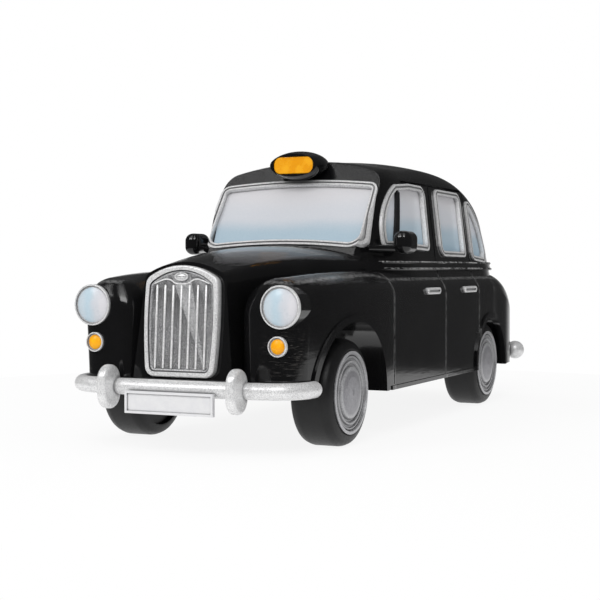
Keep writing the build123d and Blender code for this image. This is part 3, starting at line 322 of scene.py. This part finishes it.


# satin silver paint with a fine grain, and painted shade darkening its corners
silverGrain = {
    "grainScale": 5200.0,
    "grainRough": 0.6,
    "grainShare": 0.85,
    "cloudScale": 420.0,
    "cloudShare": 0.15,
    "toneSpan": (0.34, 0.64),
    # painted shade in corners: how far nearby faces are looked for, and how dark it gets
    "cornerReach": 0.0008,
    "cornerSpan": (0.35, 0.9),
    "roughness": (0.3, 0.48),
    "bump": (0.12, 0.00006),
}
silverPaint = {
    "tones": (srgb(206, 206, 207), srgb(248, 248, 248)),
    "corner": srgb(118, 118, 120),
    "metal": 0.4,
}
panelPaint = {
    "tones": (srgb(136, 136, 138), srgb(206, 206, 207)),
    "corner": srgb(104, 104, 106),
    "metal": 0.4,
}
hubPaint = {
    "tones": (srgb(160, 160, 163), srgb(204, 204, 206)),
    "corner": srgb(70, 70, 72),
    "metal": 0.45,
    "paintedFrom": 0.0185,  # the inner sides aren't silvered
    "bare": srgb(24, 24, 25),
    "hubRadius": 0.0068,
    # bands of tone round the axle; the thin brightest rings are painted highlights where the
    # ridges turn
    "rings": [
        (0.0, srgb(222, 221, 224)), (0.5, srgb(206, 205, 208)), (0.56, srgb(250, 250, 250)),
        (0.78, srgb(232, 232, 232)), (0.9, srgb(222, 222, 222)), (0.95, srgb(255, 255, 255)),
    ],
}


def makeSilverPaint(name, setup, grained, centre=None):
    mat, tree, shader = newMaterial(name)
    coords = objectCoords(tree)
    grain = noise(tree, coords, grained["grainScale"], 3.0, grained["grainRough"])
    cloud = noise(tree, coords, grained["cloudScale"])
    mixed = maths(tree, "ADD", times(tree, grain, grained["grainShare"]),
                  times(tree, cloud, grained["cloudShare"]))
    colour = ramp(tree, mixed, list(zip(grained["toneSpan"], setup["tones"])))
    # painted shade: darker in corners and creases, where nearby faces hem the surface in
    lit = mapRange(tree, openness(tree, grained["cornerReach"]), *grained["cornerSpan"])
    colour = mixColour(tree, lit, setup["corner"], colour)
    if centre:
        # a hub has rings of tone round its axle, the brightest of them painted highlights of its
        # ridges
        radius = lengthOf(tree, objectCoords(tree, centre=centre, scale=(0, 1, 1)))
        share = mapRange(tree, radius, 0.0, setup["hubRadius"])
        rings = ramp(tree, share, setup["rings"], "LINEAR")
        colour = mixColour(tree, 1.0, colour, rings, "MULTIPLY")
        sideways = maths(tree, "ABSOLUTE", axisOf(tree, coords, "X"))
        outside = maths(tree, "GREATER_THAN", sideways, setup["paintedFrom"])
        colour = mixColour(tree, outside, setup["bare"], colour)
    coat(tree, shader, colour, mapRange(tree, grain, *noiseSpan, *grained["roughness"]))
    shader.inputs["Metallic"].default_value = setup["metal"]
    bump(tree, shader, grain, *grained["bump"])
    return mat


# windows airbrushed from grey at the top to pale blue at the foot
windowPaint = {
    "tones": [
        (0.02, srgb(148, 174, 191)), (0.3, srgb(163, 183, 196)),
        (0.55, srgb(197, 200, 206)), (0.95, srgb(206, 205, 208)),
    ],
    "driftScale": (60, 60, 160),
    "driftShare": 0.22,
    "speck": (0.9, 0.9, 0.9),
    "speckScale": 3000.0,
    "speckShare": (0.0, 0.06),
    "roughness": (0.3, 0.4),
    "specular": 0.35,
    "bump": (0.04, 0.00005),
}


def makeWindowPaint(name, setup, footZ, topZ):
    mat, tree, shader = newMaterial(name)
    coords = objectCoords(tree)
    drift = noise(tree, objectCoords(tree, scale=setup["driftScale"]), 1.0)
    height = mapRange(tree, axisOf(tree, coords, "Z"), footZ, topZ)
    height = drifted(tree, height, drift, setup["driftShare"])
    speck = noise(tree, coords, setup["speckScale"], 2.0)
    share = mapRange(tree, speck, *noiseSpan, *setup["speckShare"])
    colour = mixColour(tree, share, ramp(tree, height, setup["tones"]), setup["speck"])
    coat(tree, shader, colour, mapRange(tree, speck, *noiseSpan, *setup["roughness"]))
    shader.inputs["Specular IOR Level"].default_value = setup["specular"]
    bump(tree, shader, speck, *setup["bump"])
    return mat


# headlamp lenses, pale blue towards one side
headlampPaint = {
    "tones": [
        (0.0, srgb(193, 205, 213)), (0.35, srgb(182, 201, 212)),
        (0.75, srgb(201, 204, 210)), (1.0, srgb(212, 211, 215)),
    ],
    "halfWidth": 0.0021,
    "driftScale": (700, 700, 700),
    "driftShare": 0.3,
    "roughness": (0.22, 0.34),
    "specular": 0.4,
}


def makeHeadlampPaint(name, setup, centre):
    mat, tree, shader = newMaterial(name)
    coords = objectCoords(tree, centre=centre)
    drift = noise(tree, objectCoords(tree, centre=centre, scale=setup["driftScale"]), 1.0, 2.0)
    half = setup["halfWidth"]
    across = mapRange(tree, axisOf(tree, coords, "X"), -half, half)
    across = drifted(tree, across, drift, setup["driftShare"])
    colour = ramp(tree, across, setup["tones"])
    coat(tree, shader, colour, mapRange(tree, drift, *noiseSpan, *setup["roughness"]))
    shader.inputs["Specular IOR Level"].default_value = setup["specular"]
    return mat


# amber and red lenses, and the amber front of the roof sign
lensFinish = {
    "cloudScale": 700.0,
    "roughness": (0.22, 0.34),
    "specular": 0.3,
    "grainScale": 2400.0,
    "bump": (0.05, 0.00005),
}
amberTones = (srgb(240, 158, 6), srgb(252, 178, 16))
redTones = (srgb(120, 8, 8), srgb(170, 18, 14))


def makeLensPaint(name, setup, tones):
    mat, tree, shader = newMaterial(name)
    coords = objectCoords(tree)
    cloud = noise(tree, coords, setup["cloudScale"])
    colour = ramp(tree, cloud, list(zip(noiseSpan, tones)))
    coat(tree, shader, colour, mapRange(tree, cloud, *noiseSpan, *setup["roughness"]))
    shader.inputs["Specular IOR Level"].default_value = setup["specular"]
    bump(tree, shader, noise(tree, coords, setup["grainScale"], 2.0), *setup["bump"])
    return mat


# number plates: a pale satin field, with painted shade along its raised border
platePaint = {
    "tones": [(0.35, srgb(220, 220, 222)), (0.65, srgb(224, 224, 225))],
    "cloudScale": 900.0,
    "grainScale": 5200.0,
    "edge": srgb(110, 110, 112),
    "borderShadeReach": 0.0004,
    "borderShadeSpan": (0.4, 0.85),
    "roughness": (0.42, 0.55),
    "metal": 0.1,
    "bump": (0.08, 0.00005),
}


def makePlatePaint(name, setup):
    mat, tree, shader = newMaterial(name)
    coords = objectCoords(tree)
    cloud = noise(tree, coords, setup["cloudScale"], 4.0)
    grain = noise(tree, coords, setup["grainScale"])
    # painted shade where the field meets the raised border
    lit = mapRange(tree, openness(tree, setup["borderShadeReach"]), *setup["borderShadeSpan"])
    colour = mixColour(tree, lit, setup["edge"], ramp(tree, cloud, setup["tones"]))
    coat(tree, shader, colour, mapRange(tree, grain, *noiseSpan, *setup["roughness"]))
    shader.inputs["Metallic"].default_value = setup["metal"]
    bump(tree, shader, grain, *setup["bump"])
    return mat


# rubber, satin black and steel for the rest
plainFinish = {
    "cloudScale": 260.0,
    "grainScale": 3200.0,
    "specular": 0.35,
    "bump": (0.1, 0.00006),
}
darkFinishes = {
    # dark tone, light tone, least and most roughness, metal
    "tyreRubber": (srgb(15, 15, 16), srgb(23, 23, 24), (0.36, 0.5), 0.0),
    "satinBlack": (srgb(22, 22, 23), srgb(30, 30, 31), (0.34, 0.46), 0.0),
    "baseSatin": (srgb(34, 34, 36), srgb(46, 46, 48), (0.45, 0.6), 0.0),
    "steel": (srgb(150, 150, 152), srgb(188, 188, 190), (0.28, 0.42), 1.0),
}


def makePlainFinish(name, setup, dark, light, roughness, metal):
    mat, tree, shader = newMaterial(name)
    coords = objectCoords(tree)
    cloud = noise(tree, coords, setup["cloudScale"], 4.0)
    grain = noise(tree, coords, setup["grainScale"])
    colour = ramp(tree, cloud, list(zip(noiseSpan, (dark, light))))
    coat(tree, shader, colour, mapRange(tree, grain, *noiseSpan, *roughness))
    shader.inputs["Metallic"].default_value = metal
    shader.inputs["Specular IOR Level"].default_value = setup["specular"]
    bump(tree, shader, grain, *setup["bump"])
    return mat


def dress(nodeName, mat):
    piece = nodes[nodeName]
    piece.data.materials.clear()
    piece.data.materials.append(mat)


black = makeBlackPaint("blackPaint", blackPaint)
silver = makeSilverPaint("silverPaint", silverPaint, silverGrain)
panelSilver = makeSilverPaint("panelPaint", panelPaint, silverGrain)
amber = makeLensPaint("amberPaint", lensFinish, amberTones)
red = makeLensPaint("redPaint", lensFinish, redTones)
plate = makePlatePaint("platePaint", platePaint)
plain = {name: makePlainFinish(name, plainFinish, *row) for name, row in darkFinishes.items()}
slotFinish = {
    "body_paint": black,
    "silver_trim": silver,
    "amber_lens": amber,
    "red_lens": red,
    "plate": plate,
    "black_trim": plain["satinBlack"],
    "base_paint": plain["baseSatin"],
    "tyre_rubber": plain["tyreRubber"],
    "screw_steel": plain["steel"],
    "axle_steel": plain["steel"],
}
for subpart in frame["record"]["subparts"]:
    name, slot = subpart["node"], subpart["material_slot"]
    paintName = name + "Paint"
    low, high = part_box(name)
    middle = [(a + b) / 2 for a, b in zip(low, high)]
    if slot == "window_paint":
        dress(name, makeWindowPaint(paintName, windowPaint, low[2], high[2]))
    elif slot == "headlamp_lens":
        dress(name, makeHeadlampPaint(paintName, headlampPaint, middle))
    elif "_hub_" in name:
        dress(name, makeSilverPaint(paintName, hubPaint, silverGrain, middle))
    else:
        dress(name, slotFinish[slot])
print("finishes on all nodes")

# closer points of a copied node are one, and a face looks along an axis from this share on
mergeDistance = 0.000002
facing = 0.9


# steps of modelling that the pieces below share
def only(piece):
    bpy.ops.object.select_all(action="DESELECT")
    piece.select_set(True)
    bpy.context.view_layer.objects.active = piece


def applyPlace():
    bpy.ops.object.transform_apply(location=True, rotation=True, scale=True)


def pickFaces(piece, test):
    only(piece)
    bpy.ops.object.mode_set(mode="EDIT")
    bpy.ops.mesh.select_mode(type="FACE")
    bpy.ops.mesh.select_all(action="DESELECT")
    bpy.ops.object.mode_set(mode="OBJECT")
    for face in piece.data.polygons:
        face.select = test(face)
    bpy.ops.object.mode_set(mode="EDIT")


def copyNode(nodeName):
    piece = bpy.data.objects.new(nodeName + "Copy", nodes[nodeName].data.copy())
    bpy.context.scene.collection.objects.link(piece)
    only(piece)
    bpy.ops.object.mode_set(mode="EDIT")
    bpy.ops.mesh.select_all(action="SELECT")
    bpy.ops.mesh.remove_doubles(threshold=mergeDistance)
    bpy.ops.object.mode_set(mode="OBJECT")
    return piece


def cutLoop(nodeName, place, normal, widest):
    # the line where a plane cuts a node, the widest or the narrowest where there are several
    copyNode(nodeName)
    bpy.ops.object.mode_set(mode="EDIT")
    bpy.ops.mesh.select_all(action="SELECT")
    bpy.ops.mesh.bisect(plane_co=place, plane_no=normal, clear_inner=True, clear_outer=True)
    bpy.ops.mesh.select_all(action="SELECT")
    bpy.ops.mesh.separate(type="LOOSE")
    bpy.ops.object.mode_set(mode="OBJECT")
    loops = sorted(bpy.context.selected_objects,
                   key=lambda loop: loop.dimensions.x * loop.dimensions.length)
    kept = loops[-1] if widest else loops[0]
    for loop in loops:
        if loop is not kept:
            bpy.data.objects.remove(loop)
    return kept


def insetSteps(steps):
    for width, rise in steps:
        bpy.ops.mesh.inset(thickness=width, depth=rise)


def joinPieces(made):
    only(made[0])
    for piece in made[1:]:
        piece.select_set(True)
    bpy.ops.object.join()
    return bpy.context.object


def settle(piece, name, body, mat, angle=40):
    only(piece)
    bpy.ops.object.shade_smooth_by_angle(angle=math.radians(angle))
    piece.name = name
    piece.data.materials.clear()
    piece.data.materials.append(mat)
    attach(piece, body)


# grille: a grained panel inside the surround, thin ribs, a header bead and a plain oval boss
grille = {
    "foot": (0.0, -0.05533, 0.0119),
    "lean": 4.0,  # degrees back from upright
    "panelBack": 0.00083,
    "panelFront": 0.00092,
    # inset and rise of each step
    "edgeBead": [(0.00012, 0.0), (0.00012, 0.00016), (0.00010, 0.0), (0.00012, -0.00016)],
    "ribs": 7,
    "ribPitch": 0.00148,
    "ribRadius": 0.00021,
    "ribSides": 16,
    "ribFoot": 0.0014,
    "ribTop": 0.0144,
    "ribTip": (0.4, 0.5),  # inset and rise of the ends, as shares of the radius
    "header": [
        (-0.0050, 0.01470), (-0.0042, 0.01505), (-0.0030, 0.01545), (-0.0019, 0.01530),
        (-0.0012, 0.01465), (0.0012, 0.01465), (0.0019, 0.01530), (0.0030, 0.01545),
        (0.0042, 0.01505), (0.0050, 0.01470),
    ],
    "headerRadius": 0.00015,
    "headerOrder": 3,
    "headerRounding": 3,
    "bossHeight": 0.0158,
    "bossHalf": (0.00125, 0.00070),
    "bossSides": 40,
    "bossThick": 0.0003,
    "bossRim": [(0.00010, 0.00010), (0.00012, 0.0), (0.00010, -0.00012), (0.00020, 0.00010)],
}


def standOnGrille(piece, setup):
    only(piece)
    piece.rotation_euler = (math.radians(90 - setup["lean"]), 0, 0)
    piece.location = setup["foot"]
    applyPlace()


def makeGrillePanel(setup):
    lean = math.radians(setup["lean"])
    normal = Vector((0, -math.cos(lean), math.sin(lean)))
    back = Vector(setup["foot"]) + normal * setup["panelBack"]
    panel = cutLoop("grille_surround", back, normal, widest=False)
    only(panel)
    bpy.ops.object.mode_set(mode="EDIT")
    bpy.ops.mesh.select_all(action="SELECT")
    bpy.ops.mesh.edge_face_add()
    rise = normal * (setup["panelFront"] - setup["panelBack"])
    bpy.ops.mesh.extrude_region_move(TRANSFORM_OT_translate={"value": rise})
    bpy.ops.mesh.select_all(action="SELECT")
    bpy.ops.mesh.normals_make_consistent(inside=False)
    bpy.ops.object.mode_set(mode="OBJECT")
    pickFaces(panel, lambda face: face.normal.dot(normal) > facing)
    insetSteps(setup["edgeBead"])
    bpy.ops.object.mode_set(mode="OBJECT")
    settle(panel, "grillePanel", "cab", panelSilver)


# ribs, header and boss are made lying flat, X across and Y up the grille, and stood up together
def makeRib(setup, number):
    across = (number - (setup["ribs"] - 1) / 2) * setup["ribPitch"]
    length = setup["ribTop"] - setup["ribFoot"]
    radius = setup["ribRadius"]
    bpy.ops.object.select_all(action="DESELECT")
    bpy.ops.mesh.primitive_cylinder_add(
        vertices=setup["ribSides"], radius=radius, depth=length, rotation=(math.pi / 2, 0, 0),
        location=(across, setup["ribFoot"] + length / 2, setup["panelFront"]))
    rib = bpy.context.object
    applyPlace()
    pickFaces(rib, lambda face: abs(face.normal.y) > facing)
    inset, rise = setup["ribTip"]
    bpy.ops.mesh.inset(thickness=inset * radius, depth=rise * radius, use_individual=True)
    bpy.ops.object.mode_set(mode="OBJECT")
    return rib


def makeHeader(setup):
    bpy.ops.object.select_all(action="DESELECT")
    bpy.ops.curve.primitive_nurbs_path_add(location=(0, 0, 0))
    header = bpy.context.object
    spline = header.data.splines[0]
    spline.points.add(len(setup["header"]) - len(spline.points))
    for point, (across, up) in zip(spline.points, setup["header"]):
        point.co = (across, up, setup["panelFront"], 1.0)
    spline.order_u = setup["headerOrder"]
    spline.use_endpoint_u = True
    header.data.bevel_depth = setup["headerRadius"]
    header.data.bevel_resolution = setup["headerRounding"]
    header.data.use_fill_caps = True
    bpy.ops.object.convert(target="MESH")
    return bpy.context.object


def makeBoss(setup):
    thick = setup["bossThick"]
    bpy.ops.object.select_all(action="DESELECT")
    bpy.ops.mesh.primitive_cylinder_add(
        vertices=setup["bossSides"], radius=1.0, depth=thick,
        location=(0, setup["bossHeight"], setup["panelFront"] + thick / 2))
    boss = bpy.context.object
    boss.scale = (*setup["bossHalf"], 1.0)
    applyPlace()
    pickFaces(boss, lambda face: face.normal.z > facing)
    insetSteps(setup["bossRim"])
    bpy.ops.object.mode_set(mode="OBJECT")
    return boss


def makeGrilleRibs(setup):
    made = [makeRib(setup, number) for number in range(setup["ribs"])]
    ribs = joinPieces(made + [makeHeader(setup), makeBoss(setup)])
    standOnGrille(ribs, setup)
    settle(ribs, "grilleRibs", "cab", silver)
    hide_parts("grille_slats")


makeGrillePanel(grille)
makeGrilleRibs(grille)
print("grille face made")

# tyres with rounded shoulders
tyres = {"rounding": 0.00035, "segments": 3, "fromAngle": 15, "smoothAngle": 30}


def makeTyre(setup, end, side):
    nodeName = end + "_tyre_" + side
    tyre = copyNode(nodeName)
    bpy.ops.mesh.customdata_custom_splitnormals_clear()
    bpy.ops.object.modifier_add(type="BEVEL")
    edge = tyre.modifiers[-1]
    edge.limit_method = "ANGLE"
    edge.angle_limit = math.radians(setup["fromAngle"])
    edge.width = setup["rounding"]
    edge.segments = setup["segments"]
    bpy.ops.object.modifier_apply(modifier=edge.name)
    settle(tyre, end + "Tyre" + side.title(), end + "_wheels",
           plain["tyreRubber"], setup["smoothAngle"])
    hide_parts(nodeName)


for end in ("front", "rear"):
    for side in ("left", "right"):
        makeTyre(tyres, end, side)
print("tyres made")

# round ends of the rear bumper, each with a short neck over the bar
bumperEnds = {
    "places": [(0.0211, 0.0588, 0.0103), (-0.0211, 0.0588, 0.0103)],
    "radius": 0.00205,
    "segments": 32,
    "rings": 16,
    "neckFrom": 0.8,  # how far the ball's faces look inwards where the neck starts
    "neck": 0.0012,
    "neckDepth": 0.2,  # share of the cap's depth that is left at the neck's end
}


def makeBumperEnd(setup, place):
    side = math.copysign(1, place[0])
    bpy.ops.object.select_all(action="DESELECT")
    bpy.ops.mesh.primitive_uv_sphere_add(
        segments=setup["segments"], ring_count=setup["rings"], radius=setup["radius"],
        location=place, rotation=(0, math.pi / 2, 0))
    end = bpy.context.object
    applyPlace()
    pickFaces(end, lambda face: face.normal.x * side < -setup["neckFrom"])
    inwards = (-side * setup["neck"], 0, 0)
    bpy.ops.mesh.extrude_region_move(TRANSFORM_OT_translate={"value": inwards})
    bpy.ops.transform.resize(value=(setup["neckDepth"], 1.0, 1.0))
    bpy.ops.object.mode_set(mode="OBJECT")
    return end


ends = joinPieces([makeBumperEnd(bumperEnds, place) for place in bumperEnds["places"]])
settle(ends, "rearBumperEnds", "cab", silver)
print("bumper ends made")

# two thin beads along the edges of the belt moulding, from the windscreen pillars round the back
beltBeads = {
    "heights": (0.0290, 0.0300),
    "radius": 0.00028,
    "rounding": 2,
    "frontEnd": -0.0165,
}
# the beads' black paint speckled pale where they look up: a painted highlight
wornPaint = {
    "paint": srgb(14, 14, 15),
    # pale colour of the painted highlight
    "bare": srgb(196, 196, 196),
    "speckleLayers": [(1500.0, 3.0, 0.6), (130.0, 2.0, 0.4)],  # scale, detail and share
    "speckleSpan": (0.42, 0.58),
    "upSpan": (0.1, 0.6),  # only what looks up gets the painted highlight
    "roughness": (0.1, 0.3),
}


def makeBeadHighlightPaint(name, setup):
    mat, tree, shader = newMaterial(name)
    coords = objectCoords(tree)
    fine, coarse = (times(tree, noise(tree, coords, scale, detail), share)
                    for scale, detail, share in setup["speckleLayers"])
    speckle = maths(tree, "ADD", fine, coarse)
    # painted highlight: speckled pale where the bead looks up
    bare = times(tree, mapRange(tree, speckle, *setup["speckleSpan"]),
                 mapRange(tree, upward(tree), *setup["upSpan"]))
    colour = mixColour(tree, bare, setup["paint"], setup["bare"])
    coat(tree, shader, colour, mapRange(tree, speckle, *noiseSpan, *setup["roughness"]))
    return mat


def makeBeltBead(setup, name, height, mat):
    bead = cutLoop("body_shell", (0, 0, height), (0, 0, 1), widest=True)
    only(bead)
    bpy.ops.object.mode_set(mode="EDIT")
    bpy.ops.mesh.select_mode(type="VERT")
    bpy.ops.mesh.select_all(action="DESELECT")
    bpy.ops.object.mode_set(mode="OBJECT")
    for vert in bead.data.vertices:
        vert.select = vert.co.y < setup["frontEnd"]
    bpy.ops.object.mode_set(mode="EDIT")
    bpy.ops.mesh.delete(type="VERT")
    bpy.ops.object.mode_set(mode="OBJECT")
    bpy.ops.object.convert(target="CURVE")
    bead.data.bevel_depth = setup["radius"]
    bead.data.bevel_resolution = setup["rounding"]
    bead.data.use_fill_caps = True
    bpy.ops.object.convert(target="MESH")
    settle(bpy.context.object, name, "cab", mat)


beadHighlightBlack = makeBeadHighlightPaint("wornPaint", wornPaint)
for number, height in enumerate(beltBeads["heights"], 1):
    makeBeltBead(beltBeads, "beltBead" + str(number), height, beadHighlightBlack)
print("belt beads made")

# pale floor, white sky and soft lights
studio = {
    "floorRadius": 0.125,
    "floorSides": 96,
    "floorColour": (0.9, 0.9, 0.9, 1),
    "floorRoughness": 0.9,
    "floorWhite": 0.88,  # share of plain white the camera sees, the rest keeps the shadow
    "skyColour": (1, 1, 1, 1),
    "skyOnObject": 0.72,
    "backdrop": (-0.415, 0.909, 0.03),  # the way to the middle of the white backdrop
    "backdropEdge": (0.8, 0.92),  # where it ends sideways, as the cosine from its middle
    "backdropBand": (0.04, 0.14),  # where it ends upwards, as the sine of the height
    "roomInGloss": 0.07,  # how bright the rest of the room is in the paint
    "lightsAim": (0, 0, 0.02),
    "lights": [
        # name, place, width, height, power
        ("topLight", (0.15, -0.42, 0.4), 0.22, 0.22, 1.0),
        ("keyLight", (-0.3, -0.5, 0.4), 0.2, 0.2, 1.0),
    ],
}


def whiteRays(tree):
    path = node(tree, "ShaderNodeLightPath")
    mirrored = maths(tree, "MAXIMUM", path.outputs["Is Glossy Ray"],
                     path.outputs["Is Transmission Ray"])
    return path.outputs["Is Camera Ray"], mirrored


def layFloor(setup):
    bpy.ops.object.select_all(action="DESELECT")
    bpy.ops.mesh.primitive_circle_add(vertices=setup["floorSides"], radius=setup["floorRadius"],
                                      fill_type="NGON", location=(0, 0, 0))
    floor = bpy.context.object
    floor.name = "floor"
    mat, tree, shader = newMaterial("paleFloor")
    shader.inputs["Base Color"].default_value = setup["floorColour"]
    shader.inputs["Roughness"].default_value = setup["floorRoughness"]
    shader.inputs["Specular IOR Level"].default_value = 0.0
    glow = node(tree, "ShaderNodeEmission")
    mix = node(tree, "ShaderNodeMixShader")
    seen = maths(tree, "MAXIMUM", *whiteRays(tree))
    tree.links.new(times(tree, seen, setup["floorWhite"]), mix.inputs["Fac"])
    tree.links.new(shader.outputs["BSDF"], mix.inputs[1])
    tree.links.new(glow.outputs["Emission"], mix.inputs[2])
    tree.links.new(mix.outputs["Shader"], tree.nodes["Material Output"].inputs["Surface"])
    floor.data.materials.append(mat)


def hangLights(setup):
    for name, place, width, height, power in setup["lights"]:
        bpy.ops.object.light_add(type="AREA", location=place)
        light = bpy.context.object
        light.name = name
        light.data.shape = "RECTANGLE"
        light.data.size = width
        light.data.size_y = height
        light.data.energy = power
        light.rotation_mode = "QUATERNION"
        aim = Vector(setup["lightsAim"]) - Vector(place)
        light.rotation_quaternion = aim.to_track_quat("-Z", "Y")


def hangSky(setup):
    world = bpy.data.worlds.new("studio")
    bpy.context.scene.world = world
    world.use_nodes = True
    tree = world.node_tree
    sky = tree.nodes["Background"]
    sky.inputs["Color"].default_value = setup["skyColour"]
    seen, mirrored = whiteRays(tree)
    direction = node(tree, "ShaderNodeTexCoord").outputs["Generated"]
    towards = node(tree, "ShaderNodeVectorMath", operation="DOT_PRODUCT")
    towards.inputs[1].default_value = setup["backdrop"]
    tree.links.new(direction, towards.inputs[0])
    behind = mapRange(tree, towards.outputs["Value"], *setup["backdropEdge"])
    band = mapRange(tree, axisOf(tree, direction, "Z"), *setup["backdropBand"], 1.0, 0.0)
    inGloss = mapRange(tree, times(tree, behind, band), 0.0, 1.0, setup["roomInGloss"], 1.0)
    direct = maths(tree, "SUBTRACT", 1.0, mirrored)
    level = maths(tree, "ADD", times(tree, mirrored, inGloss),
                  times(tree, direct, setup["skyOnObject"]))
    tree.links.new(maths(tree, "MAXIMUM", level, seen), sky.inputs["Strength"])


bpy.context.scene.view_settings.view_transform = "Standard"
hangSky(studio)
layFloor(studio)
hangLights(studio)
print("studio lit")
